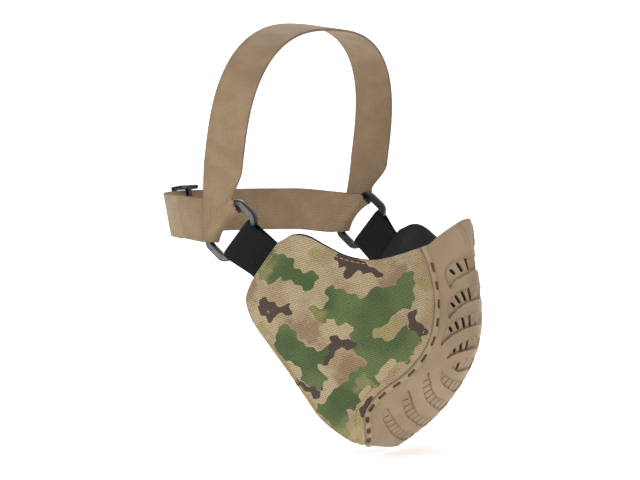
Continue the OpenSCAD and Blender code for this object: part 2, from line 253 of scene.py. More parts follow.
# ---- Materials ----
class Paint:
    """A material's node tree with short calls to add and link nodes."""

    def __init__(self, name, colour, roughness, specular=0.5):
        self.material = bpy.data.materials.new(name)
        self.material.use_nodes = True
        self.tree = self.material.node_tree
        self.shader = self.tree.nodes["Principled BSDF"]
        self.set(self.shader, "Base Color", (*colour, 1))
        self.set(self.shader, "Roughness", roughness)
        self.set(self.shader, "Specular IOR Level", specular)

    def set(self, node, socket, value):
        node.inputs[socket].default_value = value

    def link(self, value, socket):
        self.tree.links.new(value, socket)

    def node(self, kind, **inputs):
        made = self.tree.nodes.new(kind)
        for key, value in inputs.items():
            self.put(made.inputs[key.replace("_", " ")], value)
        return made

    def put(self, socket, value):
        if isinstance(value, bpy.types.NodeSocket):
            self.link(value, socket)
        else:
            socket.default_value = value

    def math(self, operation, a, b=0.0, c=0.0):
        made = self.tree.nodes.new("ShaderNodeMath")
        made.operation = operation
        for socket, value in zip(made.inputs, (a, b, c)):
            self.put(socket, value)
        return made.outputs[0]

    def mix(self, factor, a, b):
        """Colour a where factor is 0, and b where it is 1."""
        made = self.tree.nodes.new("ShaderNodeMix")
        made.data_type = "RGBA"
        self.put(made.inputs[0], factor)
        self.put(made.inputs[6], a if isinstance(a, bpy.types.NodeSocket) else (*a, 1))
        self.put(made.inputs[7], b if isinstance(b, bpy.types.NodeSocket) else (*b, 1))
        return made.outputs[2]

    def ramp(self, value, low, high):
        """value taken smoothly from low to high, to 0 to 1."""
        made = self.tree.nodes.new("ShaderNodeMapRange")
        made.interpolation_type = "SMOOTHSTEP"
        self.put(made.inputs["Value"], value)
        self.put(made.inputs["From Min"], low)
        self.put(made.inputs["From Max"], high)
        return made.outputs[0]

    def place(self):
        """The object's own coordinates in mm."""
        coordinates = self.tree.nodes.new("ShaderNodeTexCoord")
        mapping = self.node("ShaderNodeMapping", Vector=coordinates.outputs["Object"])
        self.set(mapping, "Scale", (1 / MM,) * 3)
        return mapping.outputs[0]

    def noise(self, where, scale, detail=3.0, roughness=0.5):
        made = self.node("ShaderNodeTexNoise", Vector=where, Scale=scale, Detail=detail, Roughness=roughness)
        return made.outputs["Fac"]

    def field(self, name):
        made = self.tree.nodes.new("ShaderNodeAttribute")
        made.attribute_name = name
        return made.outputs["Fac"]

    def cloth_axes(self):
        """Cloth coordinates in mm: across and along."""
        made = self.tree.nodes.new("ShaderNodeUVMap")
        made.uv_map = "cloth"
        split = self.node("ShaderNodeSeparateXYZ", Vector=made.outputs[0])
        return made.outputs[0], split.outputs[0], split.outputs[1]

    def wave(self, value, pitch):
        """A wave from 0 to 1 that repeats every pitch mm."""
        turned = self.math("MULTIPLY", value, 2 * math.pi / pitch)
        return self.math("MULTIPLY_ADD", self.math("SINE", turned), 0.5, 0.5)

    def bump(self, height, distance, strength=1.0):
        made = self.node("ShaderNodeBump", Height=height, Distance=distance * MM, Strength=strength)
        self.link(made.outputs[0], self.shader.inputs["Normal"])

    def colour(self, value):
        self.link(value, self.shader.inputs["Base Color"])


def srgb(r, g, b):
    """A colour of 0 to 255 as linear values."""
    return tuple(((v / 255 + 0.055) / 1.055) ** 2.4 if v > 10 else v / 255 / 12.92 for v in (r, g, b))


def rubber_material():
    p = Paint("moulded_rubber", srgb(158, 134, 108), 0.52, 0.42)
    where = p.place()
    cloud = p.noise(where, 0.06, 3.0)
    grain = p.noise(where, 2.6, 4.0, 0.6)
    base = p.mix(p.ramp(cloud, 0.3, 0.7), srgb(148, 125, 98), srgb(160, 137, 109))
    speck = p.mix(p.ramp(grain, 0.62, 0.8), base, srgb(138, 115, 90))
    # Painted shade: darker brown where recess_shade marks grooves, slots and leaf edges.
    deep = p.mix(p.field("recess_shade"), speck, srgb(74, 50, 31))
    # Painted highlight: lighter colour on raised crests, the rim's bead and the leaves' fine edges.
    painted_highlight = p.mix(p.math("MULTIPLY", p.field("crest"), 0.4), deep, srgb(176, 154, 126))
    p.colour(painted_highlight)
    p.link(p.math("MULTIPLY_ADD", grain, 0.16, 0.44), p.shader.inputs["Roughness"])
    p.bump(grain, 0.05, 0.5)
    return p.material


TWILL_PITCH = 1.2
PICK_PITCH = 1.5


def camo_material():
    p = Paint("camo_cloth", srgb(176, 153, 119), 0.9, 0.25)
    axes, across, up = p.cloth_axes()
    blotch = p.noise(axes, 0.05, 2.0)
    fray = p.math("MULTIPLY_ADD", p.noise(axes, 0.9, 2.0), 1.2, -0.6)
    fade = p.noise(axes, 0.035, 1.0)

    def shape(name):
        return p.ramp(p.math("ADD", p.field(name), fray), -0.25, 0.25)

    def soft(name, edge):
        return p.ramp(p.math("ADD", p.field(name), p.math("MULTIPLY", fray, 2.0)), -edge, edge)

    base = p.mix(p.ramp(blotch, 0.4, 0.66), srgb(186, 167, 132), srgb(168, 145, 112))
    base = p.mix(p.math("MULTIPLY", soft("brown", 2.4), 0.85), base, srgb(150, 122, 94))
    base = p.mix(p.math("MULTIPLY", soft("olive", 2.2), 0.8), base, srgb(160, 148, 96))
    green = p.mix(p.ramp(fade, 0.42, 0.66), srgb(78, 97, 56), srgb(104, 118, 72))
    green = p.mix(p.math("MULTIPLY", soft("faded", 2.6), 0.75), green, srgb(150, 146, 92))
    base = p.mix(shape("green"), base, green)
    base = p.mix(shape("light"), base, srgb(186, 168, 128))
    base = p.mix(shape("dark"), base, srgb(82, 66, 58))

    slant = p.math("ADD", up, p.math("MULTIPLY", across, 0.32))
    wobble = p.math("MULTIPLY_ADD", p.noise(axes, 0.5, 2.0), 0.5, slant)
    rib = p.wave(wobble, TWILL_PITCH)
    pick = p.wave(p.math("ADD", across, p.math("MULTIPLY", up, 0.6)), PICK_PITCH)
    weave = p.math("MULTIPLY", p.math("POWER", rib, 0.7), p.math("MULTIPLY_ADD", pick, 0.6, 0.4))
    thread = p.noise(axes, 1.7, 2.0)
    tone = p.math("MULTIPLY_ADD", weave, 0.66, p.math("MULTIPLY_ADD", thread, 0.75, 0.24))
    shaded = p.node("ShaderNodeHueSaturation", Color=base, Value=tone)
    p.colour(shaded.outputs[0])
    p.set(p.shader, "Sheen Weight", 0.12)
    p.set(p.shader, "Sheen Roughness", 0.6)
    p.bump(weave, 0.3, 0.9)
    return p.material


def elastic_material():
    p = Paint("tan_elastic", srgb(150, 122, 94), 0.85, 0.25)
    axes, across, run = p.cloth_axes()
    rib = p.wave(across, 0.95)
    pick = p.wave(p.math("MULTIPLY_ADD", p.wave(across, 1.9), 0.35, run), 0.7)
    weave = p.math("MULTIPLY", p.math("POWER", rib, 0.6), p.math("MULTIPLY_ADD", pick, 0.4, 0.6))
    edge = p.ramp(p.math("ABSOLUTE", across), 11.0, 11.4)
    dots = p.math("MULTIPLY", edge, p.ramp(p.wave(run, 1.6), 0.4, 0.6))
    cloud = p.noise(axes, 0.09, 3.0)
    base = p.mix(p.ramp(cloud, 0.3, 0.7), srgb(150, 125, 97), srgb(164, 139, 109))
    base = p.mix(p.math("MULTIPLY", dots, 0.85), base, srgb(84, 60, 46))
    fuzz = p.noise(axes, 1.5, 2.0)
    tone = p.math("MULTIPLY_ADD", weave, 0.18, p.math("MULTIPLY_ADD", fuzz, 0.55, 0.57))
    p.colour(p.node("ShaderNodeHueSaturation", Color=base, Value=tone).outputs[0])
    p.set(p.shader, "Sheen Weight", 0.15)
    p.set(p.shader, "Sheen Roughness", 0.5)
    p.bump(weave, 0.2, 0.8)
    return p.material


def webbing_material():
    p = Paint("black_webbing", srgb(24, 24, 26), 0.75, 0.2)
    axes, across, run = p.cloth_axes()
    yarn = p.wave(p.math("MULTIPLY_ADD", p.wave(run, 2.6), 0.6, across), 1.1)
    fuzz = p.noise(axes, 3.0, 3.0)
    rib = p.wave(run, 1.3)
    base = p.mix(p.math("MULTIPLY", yarn, rib), srgb(4, 4, 5), srgb(36, 36, 38))
    p.colour(base)
    p.set(p.shader, "Sheen Weight", 0.05)
    p.bump(p.math("MULTIPLY_ADD", fuzz, 0.4, yarn), 0.14, 0.8)
    return p.material


def ring_material():
    p = Paint("black_acetal", srgb(26, 27, 29), 0.3, 0.5)
    where = p.place()
    grain = p.noise(where, 1.6, 4.0)
    scuff = p.noise(where, 0.35, 5.0, 0.7)
    black = p.mix(p.ramp(scuff, 0.55, 0.75), srgb(24, 25, 27), srgb(44, 45, 48))
    # Painted reflection: the ring's flat top facet is coloured light grey, with scuffed variation.
    painted_highlight = p.mix(p.ramp(scuff, 0.3, 0.7), srgb(88, 90, 93), srgb(124, 126, 129))
    p.colour(p.mix(p.ramp(p.field("facet"), 0.75, 0.95), black, painted_highlight))
    p.link(p.math("MULTIPLY_ADD", scuff, 0.3, 0.16), p.shader.inputs["Roughness"])
    p.bump(grain, 0.03, 0.4)
    return p.material


def lining_material():
    p = Paint("black_lining", srgb(28, 28, 30), 0.92, 0.2)
    axes, across, up = p.cloth_axes()
    knit = p.math("MULTIPLY", p.wave(across, 0.8), p.wave(p.math("MULTIPLY_ADD", across, 0.5, up), 0.8))
    cloud = p.noise(axes, 0.12, 4.0)
    base = p.mix(cloud, srgb(20, 20, 22), srgb(44, 44, 47))
    p.colour(p.mix(p.math("MULTIPLY", knit, 0.6), base, srgb(62, 62, 66)))
    p.set(p.shader, "Sheen Weight", 0.35)
    p.set(p.shader, "Sheen Roughness", 0.4)
    p.bump(knit, 0.2, 0.9)
    return p.material


def mesh_cloth_material():
    p = Paint("black_mesh", srgb(20, 20, 22), 0.7, 0.3)
    axes, across, up = p.cloth_axes()
    hole = p.math("MULTIPLY", p.wave(across, 1.5), p.wave(up, 1.5))
    fuzz = p.noise(axes, 2.0, 3.0)
    base = p.mix(p.ramp(hole, 0.35, 0.6), srgb(34, 34, 37), srgb(7, 7, 8))
    p.colour(p.mix(p.math("MULTIPLY", fuzz, 0.4), base, srgb(48, 48, 52)))
    p.bump(p.math("SUBTRACT", 1.0, p.ramp(hole, 0.3, 0.65)), 0.3, 0.9)
    return p.material


def foam_material():
    p = Paint("foam_core", srgb(52, 52, 54), 0.95, 0.2)
    cells = p.noise(p.place(), 1.4, 5.0, 0.7)
    p.colour(p.mix(cells, srgb(34, 34, 36), srgb(78, 78, 80)))
    p.bump(cells, 0.3, 0.8)
    return p.material


def thread_material(name, dark, light):
    p = Paint(name, light, 0.6, 0.4)
    where = p.place()
    ply = p.noise(where, 3.5, 3.0)
    p.colour(p.mix(p.ramp(ply, 0.3, 0.7), dark, light))
    p.set(p.shader, "Sheen Weight", 0.2)
    p.bump(ply, 0.08, 0.8)
    return p.material


RUBBER = rubber_material()
CAMO = camo_material()
ELASTIC = elastic_material()
WEBBING = webbing_material()
ACETAL = ring_material()
LINING = lining_material()
MESH_CLOTH = mesh_cloth_material()
FOAM = foam_material()
GOLD_THREAD = thread_material("gold_thread", srgb(150, 122, 66), srgb(206, 176, 108))
BLACK_THREAD = thread_material("black_thread", srgb(14, 14, 15), srgb(40, 40, 42))
TAN_THREAD = thread_material("tan_thread", srgb(122, 98, 72), srgb(176, 148, 114))


# ---- Front shell: built as the wearer's left half and mirrored ----
FLAT = np.array([1.3, 1.0])             # mm per degree and per mm on the flattened form
SHELL_T = 2.3
WALL = 0.45                             # run of a vent's side wall
LINE_STEP = 0.1                         # how finely a leaf's edge is sampled for distances
GRID = 1.05                             # spacing of the shell's free points
# Leaf-shaped vents from the nose down. Both edges run from the tip to the centre line. Through vents have
# open slots, and the others have closed grooves. marks is (first, last, count, longest mm), where first
# and last are shares of the way from the tip.
LEAVES = [
    dict(tip=[12.8, -32.5], outer=[[13.8, -24.5], [12, -19.2], [9, -16.5], [0, -12.5]],
         inner=[[8.8, -27], [0, -21.8]], through=True, marks=(0.42, 0.8, 3, 5.0)),
    dict(tip=[14.2, -49.5], outer=[[15, -44.2], [13.5, -38.5], [9.5, -33.5], [0, -30.2]],
         inner=[[12.2, -46.2], [6.8, -40.8], [0, -38.5]], through=True, marks=(0.34, 0.78, 4, 5.2)),
    dict(tip=[17.5, -64.2], outer=[[17.5, -58.8], [15.2, -53], [11.5, -49.5], [4, -46.5], [0, -45.5]],
         inner=[[13.5, -59], [7, -54.8], [0, -52.8]], through=True, marks=(0.38, 0.8, 4, 5.2)),
    dict(tip=[13.8, -71.8], outer=[[12, -66.8], [8.5, -63.2], [2, -59.8], [0, -59.5]],
         inner=[[9.8, -68.8], [5.2, -67.2], [0, -66.5]], through=True, marks=(0.34, 0.72, 3, 4.4)),
    dict(tip=[9.5, -76.5], outer=[[4.8, -71.8], [1, -72], [0, -72]],
         inner=[[5, -79.2], [1, -78.4], [0, -78.4]], through=True, marks=(0.42, 0.42, 1, 3.6)),
    dict(tip=[14, -78], outer=[[13, -82.5], [9.2, -86.8], [2.5, -90.8], [0, -91.6]],
         inner=[[10.2, -81], [5, -83.8], [0, -85.4]], through=False, marks=(0.3, 0.9, 4, 4.6)),
    dict(tip=[20.8, -77.2], outer=[[21.5, -83.5], [19.5, -89.2], [14.2, -95.5], [8.2, -99.2], [0, -103]],
         inner=[[18.2, -82.2], [14, -88.8], [7.8, -94.2], [0, -97]], through=False,
         marks=(0.2, 0.92, 7, 6.4)),
    dict(tip=[28, -87.5], outer=[[30, -93.2], [27.8, -98.5], [21.5, -104.5], [10.2, -109.8], [0, -112.5]],
         inner=[[25.5, -91.8], [19.8, -99], [11.8, -104.2], [0, -107.2]], through=False,
         marks=(0.2, 0.92, 7, 6.4)),
    dict(tip=[37.8, -97], outer=[[39.2, -101.8], [36.5, -107], [26.8, -114.2], [11.5, -119], [0, -120.8]],
         inner=[[33.2, -102.5], [26, -108.2], [14.2, -113.5], [0, -116.6]], through=False,
         marks=(0.2, 0.9, 7, 6.0)),
]
MARK_CENTRE = 0.47                      # where a mark lies between a leaf's outer and inner edge
SLOT_R = 1.0
GROOVE_R = 0.42
GROOVE_DEPTH = 0.75
THROUGH_DEPTHS = (0.6, 1.25)            # a leaf's floor below the shell, at its outer and inner edge
BLIND_DEPTHS = (0.8, 1.0)
WELL_DEPTH = 0.7                        # further down beside the middle rib of a leaf with slots
LEAF_RIM_H = 0.22                       # fine raised edge round each leaf
LEAF_RIM_W = 0.15
BEAD_H = 0.9                            # bead along the stitched rim, and the groove inside it
BEAD_GROOVE = 0.22
FREE_EDGE_DROP = 0.6                    # rounding of the nose's and the throat's edges
NOSE_RIB_H = 0.75
NOSE_RIB = [[5.5, 3.0], [3.6, -2.5], [2.6, -8.5]]       # a plain raised rib on each side of the nose
RIM_SLOTS = 13
RIM_SLOT_LENGTH = 5.6
RIM_SLOT_R = 1.2
RIM_SLOT_DEPTH = 1.2
RIM_SLOT_INSET = 2.1                    # middle of a rim slot, from the seam
WELD_MM = 0.02                          # points this close on the centre line become one


def mm_scale(q):
    """mm per degree and per mm of height at q."""
    here = radius(np.array([q[0]]), np.array([q[1]]))[0]
    return np.array([here * math.pi / 180, 1.0])


def capsule(start, end, r, ends=5):
    """A closed loop of points at distance r round the line from start to end, both [angle, height]."""
    scale = mm_scale((np.asarray(start) + end) / 2)
    a, b = np.asarray(start) * scale, np.asarray(end) * scale
    way = (b - a) / max(np.linalg.norm(b - a), 1e-6)
    turn = math.atan2(way[1], way[0])
    sweep_b = [turn - math.pi / 2 + math.pi * i / ends for i in range(ends + 1)]
    sweep_a = [v + math.pi for v in sweep_b]
    middle = [a + (b - a) * t for t in np.arange(1, max(int(np.linalg.norm(b - a) / 0.9), 1)) * 0.9
              / max(np.linalg.norm(b - a), 1e-6)]
    side = np.array([way[1], -way[0]]) * r
    loop = ([m + side for m in middle] + [b + r * np.array([math.cos(v), math.sin(v)]) for v in sweep_b]
            + [m - side for m in middle[::-1]]
            + [a + r * np.array([math.cos(v), math.sin(v)]) for v in sweep_a])
    return np.array(loop) / scale


def leaf_edges(leaf):
    return (spaced([leaf["tip"]] + leaf["outer"], 0.8), spaced([leaf["tip"]] + leaf["inner"], 0.8))


def at_share(line, share):
    """The point at a share of the way along evenly spaced points."""
    place = share * (len(line) - 1)
    i = min(int(place), len(line) - 2)
    return line[i] + (line[i + 1] - line[i]) * (place - i)


def leaf_marks(leaf):
    """The slots or grooves of a leaf as [start, end] pairs, each lying on a rung between its edges."""
    first, last, count, longest = leaf["marks"]
    outer, inner = leaf_edges(leaf)
    marks = []
    for k in range(count):
        share = first + (last - first) * k / max(count - 1, 1)
        a, b = at_share(outer, share), at_share(inner, share)
        scale = mm_scale(a)
        width = np.linalg.norm((b - a) * scale)
        grow = 1.0 if count == 1 else 1 - 0.62 * (1 - k / (count - 1)) ** 1.6
        half = min(longest * grow, 0.8 * width) / 2 / width
        marks.append((a + (b - a) * (MARK_CENTRE - half), a + (b - a) * (MARK_CENTRE + half)))
    return marks


def beside(line, distance):
    """Points beside a line, distance mm to the left of its direction."""
    step = np.gradient(line, axis=0) * FLAT
    normal = np.stack([-step[:, 1], step[:, 0]], -1)
    normal /= np.linalg.norm(normal, axis=1, keepdims=True)
    return line + distance * normal / FLAT


def rim_marks():
    """The rim's slots as [start, end] pairs along the seam."""
    seam = spaced(SEAM, 0.5)
    inset = beside(seam, -RIM_SLOT_INSET)
    marks = []
    for k in range(RIM_SLOTS):
        share = 0.09 + 0.87 * k / (RIM_SLOTS - 1)
        middle = share * (len(inset) - 1)
        half = RIM_SLOT_LENGTH / 2 - RIM_SLOT_R
        a, b = (inset[int(np.clip(middle + s * half / 0.5, 0, len(inset) - 1))] for s in (-1, 1))
        marks.append((a, b))
    return marks


class Outline:
    """Points and edges for the shell's triangulation."""

    def __init__(self):
        self.points, self.edges = [], []

    def chain(self, line, closed=False):
        first = len(self.points)
        self.points += [tuple(p) for p in line]
        pairs = [(first + i, first + i + 1) for i in range(len(line) - 1)]
        self.edges += pairs + ([(first + len(line) - 1, first)] if closed else [])


def shell_outline():
    nose, seam, throat = spaced(NOSE, 0.9), spaced(SEAM, 0.8), spaced(THROAT, 0.9)
    return np.concatenate([nose[:-1], seam[:-1], throat[::-1]])


def free_points(loop, taken):
    """A staggered grid of points inside the loop and clear of the taken points."""
    a0, a1 = 0.0, loop[:, 0].max()
    z0, z1 = loop[:, 1].min(), loop[:, 1].max()
    rows = []
    for i, z in enumerate(np.arange(z0, z1, GRID * 0.87)):
        start = a0 + (i % 2) * GRID / 2 / FLAT[0]
        angles = np.arange(start, a1, GRID / FLAT[0])
        rows.append(np.stack([angles, np.full(len(angles), z)], -1))
    grid = np.concatenate(rows)
    grid = grid[inside(grid, loop) & (grid[:, 0] > 0.4)]
    clear = np.ones(len(grid), bool)
    for chunk in np.array_split(taken, max(len(taken) // 60, 1)):
        gaps = np.linalg.norm((grid[:, None] - chunk[None]) * FLAT, axis=-1).min(axis=1)
        clear &= gaps > 0.5
    return grid[clear]


def add_leaves(outline):
    """Adds the leaves' edges and marks. Returns the slots, the grooves and where the edges end."""
    holes, grooves, centre = [], [], []
    for leaf in LEAVES:
        outer, inner = leaf_edges(leaf)
        outline.chain(np.concatenate([outer[::-1], inner[1:]]))
        centre += [outer[-1], inner[-1]]
        for a, b in leaf_marks(leaf):
            if leaf["through"]:
                holes.append(capsule(a, b, SLOT_R))
                outline.chain(holes[-1], closed=True)
            else:
                grooves.append((a, b))
                outline.chain(capsule(a, b, GROOVE_R, ends=3), closed=True)
                outline.chain(np.linspace(a, b, 5))
    return holes, grooves, centre


def side_points(loop, fixed):
    """Points beside the shell's edges, where walls and beads start."""
    extra = []
    for leaf in LEAVES:
        for line, side in zip(leaf_edges(leaf), (-1, 1)):
            extra.append(beside(line, side * -WALL)[2:-1])
            extra.append(beside(line, side * WALL)[2:-1])
    extra.append(beside(spaced(NOSE_RIB, 0.8), 0.7))
    extra.append(beside(spaced(NOSE_RIB, 0.8), -0.7))
    for inset in (0.7, 3.0, 3.4, 3.9):
        extra.append(beside(spaced(SEAM, 0.8), -inset)[1:-1])
    extra = np.concatenate(extra)
    extra = extra[inside(extra, loop) & (extra[:, 0] > 0.25)]
    near = np.linalg.norm((extra[:, None] - fixed[None]) * FLAT, axis=-1).min(axis=1)
    return extra[near > 0.2]


def shell_layout():
    """The half shell's flat points as [angle, height], its triangles, its grooves and its rim's slots."""
    loop = shell_outline()
    outline = Outline()
    holes, grooves, centre = add_leaves(outline)
    rim_slots = [capsule(a, b, RIM_SLOT_R) for a, b in rim_marks()]
    for (a, b), slot in zip(rim_marks(), rim_slots):
        outline.chain(slot, closed=True)
        outline.chain(capsule(a, b, RIM_SLOT_R - 0.3), closed=True)
    outline.chain(spaced(NOSE_RIB, 0.8))
    axis = [tuple(p) for p in centre] + [(0.0, z) for z in np.arange(-124, 6.4, GRID)]
    axis = sorted(set(axis), key=lambda p: p[1])
    outline.chain(np.array([loop[-1]] + [p for p in axis if -124.4 < p[1] < 6.0] + [loop[0]]))
    outline.chain(loop)
    fixed = np.array(outline.points)
    extra = side_points(loop, fixed)
    free = free_points(loop, np.concatenate([fixed, extra]))
    points = np.concatenate([fixed, extra, free]) * FLAT
    made = delaunay_2d_cdt([Vector(p) for p in points], outline.edges, [], 0, 1e-4)
    flat = np.array([tuple(v) for v in made[0]]) / FLAT
    faces = np.array([tuple(f) for f in made[2]])
    middles = flat[faces].mean(axis=1)
    keep = inside(middles, loop)
    for hole in holes:
        keep &= ~inside(middles, hole)
    return flat, faces[keep], grooves, rim_slots


def near_segment(q, a, b):
    """Distance in mm on the flattened form from points q to the line from a to b."""
    scale = mm_scale((np.asarray(a) + b) / 2)
    p, a, b = q * scale, np.asarray(a) * scale, np.asarray(b) * scale
    t = np.clip(((p - a) @ (b - a)) / max((b - a) @ (b - a), 1e-9), 0, 1)
    return np.linalg.norm(p - a - t[:, None] * (b - a), axis=1)


def rim_relief(flat, base):
    """Lift at the stitched rim and the free edges, and how high on the rim's bead each point is."""
    seam = distance_to(base, SEAM)
    bead = smooth_step(0, 0.7, seam) * (1 - smooth_step(2.6, 3.6, seam))
    taper = 1 - 0.4 * smooth_step(-20, -8, flat[:, 1])
    lift = BEAD_H * bead * taper - BEAD_GROOVE * np.exp(-((seam - 3.9) / 0.5) ** 2)
    free = np.minimum(distance_to(base, NOSE), distance_to(base, THROAT))
    return lift - FREE_EDGE_DROP * (1 - smooth_step(0, 1.1, free)), bead


def leaf_relief(flat, base, leaf, lift, recess_shade):
    """Sinks one leaf in lift, adds painted shade along its edges to recess_shade, changes both, and returns
    the leaf's raised edge.
    """
    outer, inner = leaf_edges(leaf)
    loop = np.concatenate([outer, inner[::-1]])
    loop[:, 0] = np.where(loop[:, 0] <= 0.01, -0.5, loop[:, 0])
    held = np.flatnonzero(inside(flat, loop))
    all_outer = distance_to(base, [leaf["tip"]] + leaf["outer"], LINE_STEP)
    all_inner = distance_to(base, [leaf["tip"]] + leaf["inner"], LINE_STEP)
    to_outer, to_inner = all_outer[held], all_inner[held]
    edge = np.minimum(to_outer, to_inner)
    share = to_outer / np.maximum(to_outer + to_inner, 0.01)
    shallow, deep = THROUGH_DEPTHS if leaf["through"] else BLIND_DEPTHS
    depth = (shallow + (deep - shallow) * share) * smooth_step(0, WALL, edge)
    if leaf["through"]:
        well = (1 - smooth_step(3.0, 3.5, flat[held, 0])) * smooth_step(0.5, 1.0, edge)
        rib = near_segment(flat[held], [0, leaf["outer"][-1][1]], [2.4, leaf["inner"][-1][1] - 0.5])
        depth += WELL_DEPTH * well * smooth_step(0.45, 0.8, rib)
    lift[held] -= depth
    rim = np.exp(-(np.minimum(all_outer, all_inner) / LEAF_RIM_W) ** 2)
    lift += LEAF_RIM_H * rim
    # Painted shade: a dark line just inside the leaf's edge.
    line = 0.34 * (1 - smooth_step(WALL - 0.1, WALL + 0.35, edge))
    recess_shade[held] = np.maximum(recess_shade[held], line)
    return rim


def shell_relief(flat, grooves, rim_slots):
    """Each point's lift off the form, with the painted shade it gets in recesses and how high on a crest it
    is, which weights a painted highlight.
    """
    base = on_form(flat)
    lift, crest = rim_relief(flat, base)
    recess_shade = np.zeros(len(flat))
    for leaf in LEAVES:
        crest = np.maximum(crest, leaf_relief(flat, base, leaf, lift, recess_shade))
    for a, b in grooves:
        gap = near_segment(flat, a, b)
        lift -= GROOVE_DEPTH * (1 - smooth_step(0.0, GROOVE_R, gap))
        # Painted shade inside the closed grooves.
        recess_shade = np.maximum(recess_shade, np.where(gap < 0.7 * GROOVE_R, 0.8, 0.0))
    for slot in rim_slots:
        held = inside(flat, slot * 0.9995 + slot.mean(axis=0) * 0.0005)
        lift[held] = -RIM_SLOT_DEPTH
        # Painted shade in the rim's slots.
        recess_shade[held] = 0.35
    rib = distance_to(base, NOSE_RIB)
    lift += NOSE_RIB_H * (1 - smooth_step(0.1, 0.9, rib))
    # Painted shade along the foot of the nose rib.
    recess_shade = np.maximum(recess_shade, 0.35 * np.exp(-((rib - 1.0) / 0.3) ** 2))
    # The crest's painted highlight is left off wherever there is painted shade.
    return lift, recess_shade, np.where(recess_shade > 0.05, 0.0, crest)


def both_halves(points, faces, fields):
    """Adds the mirror image of a half model across X = 0."""
    mirror = points * np.array([-1, 1, 1])
    faces = [tuple(f) for f in faces] + [tuple(len(points) + v for v in f)[::-1] for f in faces]
    return np.concatenate([points, mirror]), faces, {k: np.concatenate([v, v]) for k, v in fields.items()}


def weld(obj):
    work = bmesh.new()
    work.from_mesh(obj.data)
    bmesh.ops.remove_doubles(work, verts=work.verts, dist=WELD_MM * MM)
    bmesh.ops.recalc_face_normals(work, faces=work.faces)
    work.to_mesh(obj.data)
    work.free()


def make_front_shell():
    flat, faces, grooves, rim_slots = shell_layout()
    lift, recess_shade, crest = shell_relief(flat, grooves, rim_slots)
    outer = on_form(flat, lift)
    inner = on_form(flat, np.minimum(lift - 0.5, -SHELL_T))
    n = len(flat)
    skins = [tuple(f) for f in faces] + [tuple(n + v for v in f)[::-1] for f in faces]
    edges = dict.fromkeys((f[i], f[(i + 1) % 3]) for f in faces for i in range(3))
    walls = [(b, a, a + n, b + n) for a, b in edges if (b, a) not in edges
             and not (flat[a, 0] < 0.01 and flat[b, 0] < 0.01)]
    points = np.concatenate([outer, inner])
    # recess_shade carries the painted shade, and crest the weight of the painted highlight.
    fields = {"recess_shade": np.concatenate([recess_shade, recess_shade]), "crest": np.concatenate([crest, np.zeros(n)])}
    points, all_faces, fields = both_halves(points, skins + walls, fields)
    shell = mesh_object("rubber_front", points, all_faces, RUBBER, 32, fields=fields)
    weld(shell)
    shell.data.set_sharp_from_angle(angle=math.radians(32))
    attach(shell, "mask")
    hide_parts("front_shell")


# ---- Patches between four edges, as in the CAD ----
def fill_in(top, bottom, start, end, s, t, corners):
    s, t = s[..., None], t[..., None]
    c = np.array(corners, float)
    return ((1 - t) * top + t * bottom + (1 - s) * start + s * end - (1 - s) * (1 - t) * c[0]
            - s * (1 - t) * c[1] - (1 - s) * t * c[2] - s * t * c[3])


def line_on_grid(line, v):
    return along(line, v.ravel()).reshape(v.shape + (2,))


def cheek(s, t):
    return fill_in(line_on_grid(TOP, s), line_on_grid(CHIN, s), line_on_grid(SEAM, t),
                   line_on_grid(REAR, t), s, t, [TOP[0], REAR[0], CHIN[0], CHIN[1]])


def across(line, v):
    """The line from the wearer's right, through the centre line, to the left."""
    q = line_on_grid(line, np.abs(2 * v - 1))
    q[..., 0] *= np.where(v < 0.5, -1, 1)
    return q


def mirrored(q):
    return q * np.array([-1, 1])


def front(s, t):
    seam = line_on_grid(SEAM, t)
    corners = [mirrored(np.array(SEAM[0])), SEAM[0], mirrored(np.array(CHIN[0])), CHIN[0]]
    return fill_in(across(NOSE, s), across(THROAT, s), mirrored(seam), seam, s, t, corners)


def lattice(cols, rows, s_from=0.0, s_to=1.0, t_from=0.0, t_to=1.0):
    return np.meshgrid(np.linspace(s_from, s_to, cols), np.linspace(t_from, t_to, rows))


CLOTH_UV = np.array([1.25, 1.0])        # mm of cloth per degree and per mm of height
LINER_LIFT = -2.75
LINER_T = 0.45


def make_liner():
    s, t = lattice(70, 80, 0.02, 0.98, 0.02, 0.98)
    q = front(s, t)
    ripple = 0.08 * np.sin(q[..., 0] * 0.9) * np.sin(q[..., 1] * 0.35)
    outer, inner = on_form(q, LINER_LIFT + ripple), on_form(q, LINER_LIFT - LINER_T + ripple)
    liner = slab("mesh_liner", outer, inner, MESH_CLOTH, uv=q * CLOTH_UV)
    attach(liner, "mask")
    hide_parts("front_liner")


